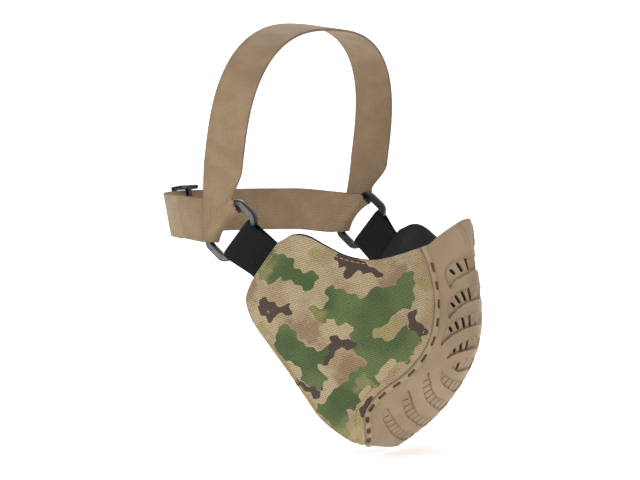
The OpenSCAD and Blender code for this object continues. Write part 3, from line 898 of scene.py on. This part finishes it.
# ---- Camouflage print: a generic design, as strokes of [angle, height, radius in mm] on the cheek ----
PRINT = {
    "dark": [
        [[64, -13, 2.6], [56, -19, 4.4], [47, -21, 3.0]],
        [[84, -41, 2.8], [92, -45, 4.2], [100, -41, 2.6]],
        [[57, -60, 3.4], [65, -62, 4.4], [68, -70, 2.4]],
        [[31, -43, 2.8], [28.5, -54, 3.8]],
        [[50, -97, 3.4], [43, -101, 3.0]],
        [[76, -88, 3.4], [83, -84, 2.4]],
    ],
    "light": [
        [[66, -47, 2.0], [60, -51, 2.6]],
        [[88, -72, 2.4], [82, -78, 2.8]],
        [[36, -72, 2.0], [42, -78, 2.4]],
    ],
    "green": [
        [[99, -21, 6.0], [88, -19, 7.5], [78, -26, 5.5]],
        [[30, -26, 4.0], [38, -35, 7.0], [51, -43, 9.0], [63, -39, 7.5], [72, -46, 5.0]],
        [[51, -43, 8.0], [56, -54, 5.0], [48, -64, 5.5]],
        [[90, -60, 7.5], [80, -70, 8.5], [71, -67, 4.5]],
        [[33, -62, 8.0], [44, -69, 9.0], [51, -81, 7.5], [61, -88, 5.0]],
        [[80, -70, 7.0], [74, -80, 5.5]],
        [[60, -93, 6.5], [69, -99, 6.5], [61, -109, 5.5]],
    ],
    "faded": [
        [[99, -22, 6.0]],
        [[73, -46, 5.0]],
        [[50, -84, 5.0]],
        [[60, -111, 5.0]],
    ],
    "olive": [
        [[72, -13, 5.5]],
        [[47, -56, 5.5], [39, -53, 4.5]],
        [[92, -78, 4.5]],
        [[52, -106, 4.5]],
        [[25, -29, 4.5]],
        [[98, -53, 4.5]],
    ],
    "brown": [
        [[45, -28, 3.5], [36, -23, 4.5]],
        [[73, -55, 5.5], [84, -52, 4.5]],
        [[62, -80, 5.5], [55, -72, 4.5]],
        [[67, -112, 5.0]],
        [[104, -33, 4.5]],
        [[33, -85, 4.0]],
    ],
}
PRINT_SOFTNESS = 1.2                    # how smoothly strokes of one colour run into each other
LEFT_PRINT = np.array([132.0, -116.0])  # the left cheek's print is turned half round about half of this


def warped(q):
    """q pushed about smoothly by a few mm, which gives the strokes irregular edges."""
    a, z = q[..., 0] * FLAT[0], q[..., 1]
    across_mm = 2.4 * np.sin(0.30 * z + 0.16 * a) + 1.1 * np.sin(0.83 * z - 0.52 * a + 1.7)
    up_mm = 2.2 * np.sin(0.27 * a - 0.21 * z + 0.6) + 1.1 * np.sin(0.74 * a + 0.61 * z + 2.9)
    return q + np.stack([across_mm / FLAT[0], up_mm], -1)


def stroke_depth(q, stroke):
    """How far inside a stroke of growing or shrinking radius each point is, in mm."""
    p = q * FLAT
    best = np.full(q.shape[:-1], -99.0)
    knots = [(np.array(k[:2]) * FLAT, k[2]) for k in stroke]
    for (a, ra), (b, rb) in zip(knots, knots[1:] or knots):
        way = b - a
        t = np.clip(((p - a) @ way) / max(way @ way, 1e-9), 0, 1)
        gap = np.linalg.norm(p - a - t[..., None] * way, axis=-1)
        best = np.maximum(best, ra + (rb - ra) * t - gap)
    return best


def print_fields(q, side):
    if side == "left":      # the left cheek is cut from another part of the cloth
        q = LEFT_PRINT - q
    q = warped(q)
    fields = {}
    for name, strokes in PRINT.items():
        depths = np.clip(np.stack([stroke_depth(q, stroke) for stroke in strokes]), -30, 30)
        fields[name] = PRINT_SOFTNESS * np.log(np.exp(depths / PRINT_SOFTNESS).sum(axis=0))
    return fields


# ---- Cheeks ----
FABRIC_T = 0.9
LINING_T = 0.8
FOAM_SPAN = (0.1, 0.8, 0.09, 0.9)       # the foam's part of the cheek patch: s from, s to, t from, t to
PATCH_MM = 90                           # rough size of the whole patch, for shares of it as mm
STITCH_INSET = 2.2
SEAM_INSET = 5.0
TAB_ROOT = [100, -15]                   # where the webbing runs under the cheek's rear edge


def to_side(points, side):
    return points * np.array([SIDES[side], 1, 1])


def edge_distances(points):
    edges = np.minimum(distance_to(points, TOP, 1.0), distance_to(points, REAR, 1.0))
    return np.minimum(edges, distance_to(points, CHIN, 1.0)), distance_to(points, SEAM, 1.0)


def pillow(q):
    """Lift of the cheek's outer cloth: rolled edges, sewn channels, and a padded middle."""
    shape = q.shape[:-1]
    flat_q = q.reshape(-1, 2)
    edge, seam = edge_distances(on_form(flat_q))
    lift = -1.1 * (1 - smooth_step(0, 1.3, edge))
    lift -= 0.75 * (1 - smooth_step(0, 1.2, seam))
    lift -= 0.42 * np.exp(-((edge - STITCH_INSET) / 0.6) ** 2)
    lift -= 0.42 * np.exp(-((seam - SEAM_INSET) / 0.6) ** 2)
    inner = np.minimum(edge - STITCH_INSET, seam - SEAM_INSET)
    lift += 1.0 * (1 - np.exp(-np.clip(inner, 0, None) / 7.0))
    a, z = flat_q[:, 0], flat_q[:, 1]
    soft = smooth_step(0, 6, inner)
    lift += soft * (0.16 * np.sin(a * 0.21 + z * 0.13) + 0.12 * np.sin(a * 0.11 - z * 0.24 + 1.0))
    pucker = np.exp(-(np.abs(edge - STITCH_INSET) / 2.2) ** 2)
    lift += 0.07 * pucker * np.sin(a * 2.1) * np.sin(z * 1.7)
    return lift.reshape(shape)


def lining_lift(q):
    """Lift of the lining's outer face: sewn to the cloth at the edges, behind the foam elsewhere."""
    shape = q.shape[:-1]
    points = on_form(q.reshape(-1, 2))
    edge, seam = edge_distances(points)
    tab = np.linalg.norm(points - on_form(np.array([TAB_ROOT], float)), axis=1)
    sewn = 2.1 + 3.2 * np.exp(-((tab / 17.0) ** 4))
    seam_sewn = 2.6
    depth = np.minimum(sewn + (5.1 - sewn) * smooth_step(1.0, 11.0, edge),
                       seam_sewn + (5.1 - seam_sewn) * smooth_step(0.5, 9.0, seam))
    return -np.maximum(depth, sewn * (1 - smooth_step(0, 6, edge))).reshape(shape)


def make_cheek_cloth(side):
    s, t = lattice(96, 116)
    q = cheek(s, t)
    lift = pillow(q)
    outer = to_side(on_form(q, lift), side)
    inner = to_side(on_form(q, lift - FABRIC_T), side)
    cloth = slab("camo_cheek_" + side, outer, inner, CAMO, uv=q * CLOTH_UV, fields=print_fields(q, side))
    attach(cloth, "mask")
    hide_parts("cheek_fabric_" + side)


def make_cheek_lining(side):
    s, t = lattice(60, 72, 0.02, 0.985, -0.004, 0.99)
    q = cheek(s, t)
    lift = lining_lift(q)
    dimple = 0.1 * np.sin(q[..., 0] * 0.5) * np.sin(q[..., 1] * 0.4)
    outer = to_side(on_form(q, lift + dimple), side)
    inner = to_side(on_form(q, lift + dimple - LINING_T), side)
    lining = slab("cheek_lining_sheet_" + side, outer, inner, LINING, uv=q * CLOTH_UV)
    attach(lining, "mask")
    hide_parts("cheek_lining_" + side)


def make_cheek_foam(side):
    s0, s1, t0, t1 = FOAM_SPAN
    s, t = lattice(44, 54, s0, s1, t0, t1)
    q = cheek(s, t)
    cloth_side = pillow(q) - FABRIC_T - 0.15
    lining_side = lining_lift(q) + 0.2
    round_off = smooth_step(0, 5, np.minimum.reduce([s - s0, s1 - s, t - t0, t1 - t]) * PATCH_MM)
    middle = (cloth_side + lining_side) / 2
    half = np.maximum((cloth_side - lining_side) / 2 * (0.35 + 0.65 * round_off), 0.15)
    core = slab("foam_core_" + side, to_side(on_form(q, middle + half), side),
                to_side(on_form(q, middle - half), side), FOAM)
    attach(core, "mask")
    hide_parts("cheek_foam_" + side)


# ---- Sewn thread ----
STITCH_LENGTH = 2.3
STITCH_GAP = 0.8
STITCH_LIFT = 0.22                      # thread's middle above the cloth


def stitch(start, end, up, r=0.3, dip=0.35):
    """One stitch of thread from start to end (mm): a short tube that rises out of the cloth and dips in."""
    way = end - start
    length = np.linalg.norm(way)
    way = way / length
    side = np.cross(way, up)
    side /= np.linalg.norm(side)
    turn = [2 * math.pi * k / 6 for k in range(6)]
    sections = []
    for t in np.linspace(0, 1, 6):
        swell = math.sin(math.pi * (0.08 + 0.84 * t))
        centre = start + way * length * t + up * (swell - 1) * dip
        sections.append([centre + r * (0.55 + 0.45 * swell) * (side * math.cos(v) + up * math.sin(v))
                         for v in turn])
    return sweep(np.array(sections), closed=False)


def stitches_along(points, normals):
    """Stitches one after another along a line of points."""
    run = np.concatenate([[0], np.cumsum(np.linalg.norm(np.diff(points, axis=0), axis=1))])

    def at(mark):
        return (np.array([np.interp(mark, run, points[:, k]) for k in range(3)]),
                np.array([np.interp(mark, run, normals[:, k]) for k in range(3)]))

    parts = []
    pitch = STITCH_LENGTH + STITCH_GAP
    for i in range(int(run[-1] / pitch)):
        start, up = at(i * pitch)
        end, _ = at(i * pitch + STITCH_LENGTH)
        parts.append(stitch(start, end, up / np.linalg.norm(up)))
    return parts


def stitch_line(q, side):
    lift = pillow(q) + STITCH_LIFT
    points = to_side(on_form(q, lift), side)
    normals = to_side(form_normal(q[:, 0], q[:, 1]), side)
    return stitches_along(points, normals)


def thread_object(name, parts, material):
    obj = mesh_object(name, *joined(parts), material)
    face_outwards(obj)
    return obj


def make_stitching(side):
    top, rear, seam_side = (spaced(line, 1.0) for line in (TOP, REAR, SEAM))
    loop = np.concatenate([beside(top, -STITCH_INSET)[3:-2], beside(rear, -STITCH_INSET)[2:-1]])
    corner = beside(seam_side, 1.6)[2:9]
    foot = beside(rear, -STITCH_INSET - 0.9)[-8:]
    parts = stitch_line(loop, side) + stitch_line(corner, side) + stitch_line(foot, side)
    edge = thread_object("edge_thread_" + side, parts, GOLD_THREAD)
    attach(edge, "mask")
    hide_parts("edge_stitching_" + side)

    line = beside(seam_side, SEAM_INSET)[5:-6]
    seam = thread_object("seam_thread_" + side, stitch_line(line, side), GOLD_THREAD)
    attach(seam, "mask")
    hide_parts("seam_stitching_" + side)


# ---- Rings, in local axes: u towards the mask, v along the bars, w outwards ----
RING_X = 74.0
PULL = math.radians(40)
RING_WIDE, RING_LONG, RING_T, RING_BAR = 20.6, 35.0, 4.0, 3.8
RING_END = 4.3                          # width of the ring's short sides
RING_CORNER = 4.6                       # radius of its middle line at the corners
BAR_U = (RING_WIDE - RING_BAR) / 2
BAR_HOLE = 3.1
STRAP_W = 25.0
STRAP_ROUND = 0.7                       # width of a strap's rounded edge
RIB_PITCH = 1.3
BAND_T = 1.3
U_AXIS = np.array([0, -math.cos(PULL), -math.sin(PULL)])
V_AXIS = np.array([0, math.sin(PULL), -math.cos(PULL)])
W_AXIS = np.array([1.0, 0, 0])


def at_ring(u, v, w):
    """Points at ring coordinates, beside the wearer's left ear."""
    u, v, w = (np.asarray(k, float)[..., None] for k in (u, v, w))
    return np.array([RING_X, 0, 0]) + u * U_AXIS + v * V_AXIS + w * W_AXIS


def chamfered(width, height, cut):
    """A chamfered rectangle's corners with a middle point on each long side."""
    x, y = width / 2, height / 2
    return [(x, -y + cut), (x, y - cut), (x - cut * 0.35, y - cut * 0.35), (x - cut, y), (-x + cut, y),
            (-x + cut * 0.35, y - cut * 0.35), (-x, y - cut), (-x, -y + cut),
            (-x + cut * 0.35, -y + cut * 0.35), (-x + cut, -y), (x - cut, -y),
            (x - cut * 0.35, -y + cut * 0.35)]


def ring_path():
    """The ring's middle line as points and outward directions in (u, v)."""
    r, steps = RING_CORNER, 10
    x, y = BAR_U - r, (RING_LONG - RING_END) / 2 - r
    path = []
    for k, (cx, cy) in enumerate([(x, y), (-x, y), (-x, -y), (x, -y)]):
        for i in range(steps + 1):
            turn = math.pi / 2 * (k + i / steps)
            way = (math.cos(turn), math.sin(turn))
            path.append(((cx + r * way[0], cy + r * way[1]), way))
    return path


def make_ring(side):
    profile = chamfered(RING_BAR, RING_T, 0.85)
    sections = [[at_ring(c[0] + way[0] * p[0], c[1] + way[1] * p[0] * RING_END / RING_BAR, p[1])
                 for p in profile] for c, way in ring_path()]
    points, faces = sweep(to_side(np.array(sections), side), closed=True)
    # facet marks the flat top face, where the material paints a grey reflection.
    facet = np.array([1.0 if p[1] > RING_T / 2 - 0.01 else 0.0 for p in profile])
    fields = {"facet": np.tile(facet, len(sections))}
    ring = mesh_object("strap_ring_" + side, points, faces, ACETAL, 25, fields=fields)
    face_outwards(ring)
    add_bevel(ring, 0.16)
    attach(ring, side + "_ring")
    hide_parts("ring_" + side)


def add_bevel(obj, width):
    bevel = obj.modifiers.new("worn_edges", "BEVEL")
    bevel.width = width * MM
    bevel.segments = 2
    bevel.limit_method = "ANGLE"
    bevel.angle_limit = math.radians(25)
    bevel.harden_normals = True


# ---- Straps: a sheet swept along a path, thick, with rounded edges ----
def strap(name, sheet, thickness, material, run=0.0, ribs=0.0):
    """A strap from its middle surface (length, width, 3). run is the cloth's length before it, and ribs is
    the height of its cross ribs, all in mm."""
    along_way = np.gradient(sheet, axis=0)
    across_way = np.gradient(sheet, axis=1)
    normal = np.cross(along_way, across_way)
    normal /= np.maximum(np.linalg.norm(normal, axis=-1, keepdims=True), 1e-9)
    cols = sheet.shape[1]
    place = np.linspace(-1, 1, cols) * STRAP_W / 2
    turned = np.clip((np.abs(place) - STRAP_W / 2 + STRAP_ROUND) / STRAP_ROUND, 0, 1)
    edge = np.sqrt(np.clip(1 - turned ** 2, 0.04, 1))
    middle = sheet[:, cols // 2]
    marks = run + np.concatenate([[0], np.cumsum(np.linalg.norm(np.diff(middle, axis=0), axis=1))])
    raised = ribs * (0.5 + 0.5 * np.cos(2 * np.pi * marks / RIB_PITCH))[:, None]
    half = (thickness / 2 * edge[None] + raised - ribs)[..., None]
    uv = np.stack(np.broadcast_arrays(place[None], marks[:, None]), -1)
    return slab(name, sheet + normal * half, sheet - normal * half, material, uv=uv, sharp=60)


def width_steps():
    """Places across a strap from -1 to 1, closer at the edges."""
    bend = math.pi / 2 * 0.94
    return np.sin(np.linspace(-1, 1, 27) * bend) / math.sin(bend)


def bow(points, a, b, steps, leave=1.0, arrive=1.0):
    """Smooth paths from p0 along direction a to p1 along direction b; each is (k, 3)."""
    p0, p1 = points
    reach = np.linalg.norm(p1 - p0, axis=-1, keepdims=True)
    t = np.linspace(0, 1, steps)[:, None, None]
    return hermite(t, 1.0, p0, p1, a * reach * leave, b * reach * arrive)


WEB_T = 1.2
TAB_DEPTH = RING_X - 69
TAB_EDGE = 23.0
TAB_ROOT_U = 38.0


def tab_path():
    """The webbing's middle line in (u, w): from the cheek, round the front bar, and back."""
    r = BAR_HOLE + WEB_T / 2
    arc = [(BAR_U + r * math.cos(v), r * math.sin(v))
           for v in np.radians(np.linspace(-72, -292, 34))]
    lower = [(TAB_ROOT_U, -TAB_DEPTH - WEB_T / 2), (TAB_EDGE, -TAB_DEPTH - WEB_T / 2)]
    upper = [(TAB_EDGE, WEB_T / 2 - TAB_DEPTH), (TAB_ROOT_U, WEB_T / 2 - TAB_DEPTH)]
    rough = np.array(lower + arc + upper)
    run = np.concatenate([[0], np.cumsum(np.linalg.norm(np.diff(rough, axis=0), axis=1))])
    marks = np.arange(0, run[-1], 0.325)
    path = np.stack([np.interp(marks, run, rough[:, k]) for k in (0, 1)], -1)
    blur = np.ones(9) / 9
    return np.stack([np.convolve(np.pad(path[:, k], 4, mode="edge"), blur, mode="valid")
                     for k in (0, 1)], -1)


def make_tab(side):
    path = tab_path()
    v = np.linspace(-1, 1, 21) * STRAP_W / 2 * 0.985
    u, v = np.meshgrid(path[:, 0], v, indexing="ij")
    w = np.broadcast_to(path[:, 1][:, None], u.shape)
    sheet = to_side(at_ring(u, v, w), side)
    tab = strap("webbing_fold_" + side, sheet, WEB_T - 0.1, WEBBING, ribs=0.16)
    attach(tab, "mask")
    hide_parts("webbing_tab_" + side)

    rows = 26
    ends = [at_ring(TAB_EDGE + 6 + (0.8 if i % 2 else -0.8), -11 + 22 * i / rows, WEB_T - TAB_DEPTH + 0.15)
            for i in range(rows + 1)]
    parts = [stitch(to_side(a, side), to_side(b, side), to_side(W_AXIS, side), r=0.22, dip=0.1)
             for a, b in zip(ends, ends[1:])]
    tack = thread_object("tab_tack_" + side, parts, BLACK_THREAD)
    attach(tack, "mask")
    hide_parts("tab_bartack_" + side)


# ---- Elastic band ----
CROWN_HALF, CROWN_TOP, CROWN_MID, CROWN_POWER = 83.0, 115.0, 45.0, 2.6
CROWN_LEAN = math.radians(7.7)
CROWN_START = 36.0
NAPE_R, NAPE_Z = 75.5, 6.5
NAPE_LEAN = math.radians(10)
NAPE_HALF = 58.0
TAIL_FROM, TAIL_TO = -22.0, 38.0
TAIL_R = BAND_T + 0.12
GATHER = 11.2                   # half the band's width where it turns round the bar
SPREAD = 15.6                   # half its slanting width where it meets and leaves the bar
TURN_R = 3.1                    # radius of the band's middle surface round the middle of the bar
TURN_FLARE = 2.4                # how much wider it turns at the band's edges
SHIFT = 1.0                     # how far along the bar it moves from one side to the other, halved
SPLIT_CROWN = 14.0              # height at which the band's leg stops riding on the ring alone
SPLIT_NAPE = 15.0


def crown_plane(x, h, offset):
    """Points of the leaning crown plane: x across, h up the plane, offset to the rear."""
    c, s = math.cos(CROWN_LEAN), math.sin(CROWN_LEAN)
    return np.stack([x, 4.6 - h * s + offset * c, h * c + offset * s], -1)


def nape_point(angle, r, h):
    """Points of the nape strap: angle from straight back towards the left, r outwards, h up the strap."""
    c, s = math.cos(NAPE_LEAN), math.sin(NAPE_LEAN)
    out = NAPE_R + r * c + h * s
    way = np.radians(angle)
    return np.stack([out * np.sin(way), out * np.cos(way), NAPE_Z - r * s + h * c + 0 * way], -1)


def band_rows():
    """The band's middle surface beside the left ear, from the crown leg, round the bar, to the nape leg."""
    w = width_steps()
    half = STRAP_W / 2
    r = TURN_R + TURN_FLARE * w**2
    one = np.ones_like(w)
    top = crown_plane(CROWN_HALF * one, CROWN_START * one, w * half)
    fold_out = at_ring(-BAR_U * one, w * SPREAD - SHIFT, r * one)
    crown_leg = bow((top, fold_out), np.array([0, 0.05, -1.0]), np.array([0, -0.05, -1.0]), 46, 0.9, 0.6)
    share = np.linspace(1, -1, 19)[:, None]
    turn = share * math.pi / 2
    spread = np.abs(share) ** 1.5
    place = w * (GATHER + (SPREAD - GATHER) * spread) - np.sign(share) * SHIFT * spread
    wrap = at_ring(-BAR_U + r * np.cos(turn) * one, place, r * np.sin(turn) * one)
    fold_in = at_ring(-BAR_U * one, w * SPREAD + SHIFT, -r * one)
    back = nape_point(NAPE_HALF * one, 0 * one, -w * half)
    heading = np.array([-math.cos(math.radians(NAPE_HALF)), math.sin(math.radians(NAPE_HALF)), 0])
    nape_leg = bow((fold_in, back), np.array([0, 1.0, -0.1]), heading, 46, 0.6, 0.8)
    return crown_leg, wrap, nape_leg


def split_at(rows, axis, value, rising):
    """The first row whose middle has passed a value along an axis."""
    middle = rows[:, rows.shape[1] // 2, axis]
    passed = middle > value if rising else middle < value
    return int(np.argmax(passed))


def make_band_side(side):
    crown_leg, wrap, nape_leg = band_rows()
    low = split_at(crown_leg, 2, SPLIT_CROWN, rising=False)
    far = split_at(nape_leg, 1, SPLIT_NAPE, rising=True)
    wrap = np.concatenate([crown_leg[low:-1], wrap, nape_leg[1:far + 1]])
    lengths = np.linalg.norm(np.diff(crown_leg[:, 13], axis=0), axis=1)
    turn = strap("band_turn_" + side, to_side(wrap, side), BAND_T, ELASTIC, run=lengths[:low].sum())
    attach(turn, side + "_ring")
    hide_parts("strap_wrap_" + side)

    upper = strap("band_crown_leg_" + side, to_side(crown_leg[:low + 1], side), BAND_T, ELASTIC)
    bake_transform(upper)

    rear = strap("band_nape_leg_" + side, to_side(nape_leg[far:], side), BAND_T, ELASTIC)
    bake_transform(rear)


def make_crown():
    """The crown strap, from the left leg's top over the head to the right leg's."""
    w = width_steps()
    turn = np.linspace(0, math.pi, 150)
    power = 2 / CROWN_POWER
    x = CROWN_HALF * np.sign(np.cos(turn)) * np.abs(np.cos(turn)) ** power
    h = CROWN_MID + (CROWN_TOP - CROWN_MID) * np.sin(turn) ** power
    ends = np.linspace(CROWN_START, CROWN_MID, 6)[:-1]
    x = np.concatenate([np.full(5, CROWN_HALF), x, np.full(5, -CROWN_HALF)])
    h = np.concatenate([ends, h, ends[::-1]])
    xs, offset = np.meshgrid(x, w * STRAP_W / 2, indexing="ij")
    hs = np.broadcast_to(h[:, None], xs.shape)
    crown = strap("band_crown", crown_plane(xs, hs, offset), BAND_T, ELASTIC)
    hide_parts("crown_strap")
    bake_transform(crown)


def nape_sheet(start, end, r, count):
    w = width_steps()
    angles, hs = np.meshgrid(np.linspace(start, end, count), -w * STRAP_W / 2, indexing="ij")
    return nape_point(angles, np.broadcast_to(np.asarray(r, float), angles.shape), hs)


def make_nape():
    nape = strap("band_nape", nape_sheet(NAPE_HALF, -NAPE_HALF, 0.0, 130), BAND_T, ELASTIC)
    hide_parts("nape_strap")
    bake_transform(nape)

    tail = strap("band_tail", nape_sheet(TAIL_TO, TAIL_FROM, TAIL_R, 70), BAND_T, ELASTIC)
    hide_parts("strap_tail")
    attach(tail, "nape_band")

    rows = 30
    r = TAIL_R + BAND_T / 2 + 0.12
    ends = [nape_point(np.float64(TAIL_FROM + 1.4 + (0.6 if i % 2 else -0.6)), r,
                       np.float64(-10.6 + 21.2 * i / rows)) for i in range(rows + 1)]
    out = nape_point(np.float64(TAIL_FROM), 1.0, 0.0) - nape_point(np.float64(TAIL_FROM), 0.0, 0.0)
    parts = [stitch(a, b, out, r=0.24, dip=0.15) for a, b in zip(ends, ends[1:])]
    tack = thread_object("tail_tack", parts, TAN_THREAD)
    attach(tack, "nape_band")
    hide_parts("tail_bartack")


# ---- Slider on the nape strap ----
SLIDER_HALF = 6.6
SLIDER_PLAY = 0.35


def arc_bar(start, end, r0, r1, h0, h1, cut=0.45):
    """A chamfered bar along the nape strap's arc."""
    profile = chamfered(r1 - r0, h1 - h0, cut)
    steps = max(int((end - start) / 1.2), 2)
    sections = []
    for i in range(steps + 1):
        angle = start + (end - start) * i / steps
        sections.append([nape_point(np.float64(angle), (r0 + r1) / 2 + p[0], (h0 + h1) / 2 + p[1])
                         for p in profile])
    return sweep(np.array(sections), closed=False)


def make_slider():
    inner = -BAND_T / 2 - SLIDER_PLAY
    outer = BAND_T * 1.5 + 0.1 + SLIDER_PLAY
    rail = STRAP_W / 2 + 0.5
    parts = [arc_bar(sign * (SLIDER_HALF - 1.2) - 1.2, sign * (SLIDER_HALF - 1.2) + 1.2, outer, outer + 2,
                     -rail - 1.6, rail + 1.6, 0.6) for sign in (-1, 1)]
    parts.append(arc_bar(-1.3, 1.3, inner - 2, inner, -rail - 1.6, rail + 1.6, 0.6))
    for low in (-rail - 2.4, rail):
        parts.append(arc_bar(-SLIDER_HALF, SLIDER_HALF, inner - 2, outer + 2, low, low + 2.4, 0.5))
    points, faces = joined(parts)
    slider = mesh_object("strap_slider", points, faces, ACETAL, 25)
    face_outwards(slider)
    add_bevel(slider, 0.12)
    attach(slider, "band_slider")
    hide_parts("strap_adjuster")


# ---- Floor, light and camera ----
FLOOR_Z = -0.127
FLOOR_SIZE = 6.0
FLOOR_GLOW = 0.55
WORLD_STRENGTH = 0.38


def make_floor():
    material = bpy.data.materials.new("pale_floor")
    material.use_nodes = True
    shader = material.node_tree.nodes["Principled BSDF"]
    shader.inputs["Base Color"].default_value = (0.9, 0.9, 0.9, 1)
    shader.inputs["Emission Color"].default_value = (1, 1, 1, 1)
    shader.inputs["Emission Strength"].default_value = FLOOR_GLOW
    shader.inputs["Roughness"].default_value = 0.9
    mesh = bpy.data.meshes.new("floor")
    half, back, wall, bend = FLOOR_SIZE / 2, 1.6, 2.4, 0.5
    profile = [(-half, 0.0)] + [(back + bend * math.sin(v), bend * (1 - math.cos(v)))
                                for v in np.linspace(0, math.pi / 2, 12)] + [(back + bend, wall)]
    turn = math.radians(CAMERA_AZIMUTH)
    points, faces = [], []
    for y, z in profile:
        for x in (-half, half):
            points.append((x * math.cos(turn) - y * math.sin(turn), x * math.sin(turn) + y * math.cos(turn),
                           z + FLOOR_Z))
    for i in range(len(profile) - 1):
        faces.append((2 * i, 2 * i + 1, 2 * i + 3, 2 * i + 2))
    mesh.from_pydata(points, [], faces)
    mesh.polygons.foreach_set("use_smooth", [True] * len(faces))
    mesh.materials.append(material)
    floor = bpy.data.objects.new("floor", mesh)
    bpy.context.collection.objects.link(floor)


def aim(obj, place, target):
    obj.location = place
    obj.rotation_euler = (Vector(target) - Vector(place)).to_track_quat("-Z", "Y").to_euler()


def add_light(name, azimuth, elevation, distance, size, power):
    light = bpy.data.lights.new(name, "AREA")
    light.size = size
    light.energy = power
    obj = bpy.data.objects.new(name, light)
    bpy.context.collection.objects.link(obj)
    a, e = math.radians(azimuth), math.radians(elevation)
    way = Vector((math.sin(a) * math.cos(e), -math.cos(a) * math.cos(e), math.sin(e)))
    aim(obj, way * distance, (0, 0, -0.03))


CAMERA_AZIMUTH = -60.0
CAMERA_ELEVATION = 3.0
CAMERA_DISTANCE = 1.6
PIXELS_PER_MM = 1.73
IMAGE_WIDTH = 640
SENSOR = 36.0
TARGET_RIGHT, TARGET_UP = 12.14, -8.555         # the picture's middle from the CAD origin, in mm


def make_camera():
    a, e = math.radians(CAMERA_AZIMUTH), math.radians(CAMERA_ELEVATION)
    back = Vector((math.sin(a) * math.cos(e), -math.cos(a) * math.cos(e), math.sin(e)))
    right = Vector((math.cos(a), math.sin(a), 0))
    up = back.cross(right)
    target = (right * TARGET_RIGHT + up * TARGET_UP) * MM
    camera = bpy.data.cameras.new("camera")
    camera.sensor_width = SENSOR
    camera.lens = PIXELS_PER_MM * CAMERA_DISTANCE / MM / IMAGE_WIDTH * SENSOR
    obj = bpy.data.objects.new("camera", camera)
    bpy.context.collection.objects.link(obj)
    aim(obj, target + back * CAMERA_DISTANCE, target)
    bpy.context.scene.camera = obj


def make_light():
    world = bpy.data.worlds.new("studio")
    world.use_nodes = True
    background = world.node_tree.nodes["Background"]
    background.inputs["Color"].default_value = (1, 1, 1, 1)
    background.inputs["Strength"].default_value = WORLD_STRENGTH
    bpy.context.scene.world = world
    bpy.context.scene.view_settings.view_transform = "Standard"
    add_light("key", -100, 50, 1.6, 0.8, 10.6)
    add_light("fill", -10, 25, 2.0, 1.4, 5.0)
    add_light("rim", 120, 40, 1.8, 0.9, 9)


def main():
    make_camera()
    make_light()
    make_floor()
    make_front_shell()
    make_liner()
    for side in SIDES:
        make_cheek_cloth(side)
        make_cheek_lining(side)
        make_cheek_foam(side)
        make_stitching(side)
        make_ring(side)
        make_tab(side)
        make_band_side(side)
    make_crown()
    make_nape()
    make_slider()


main()
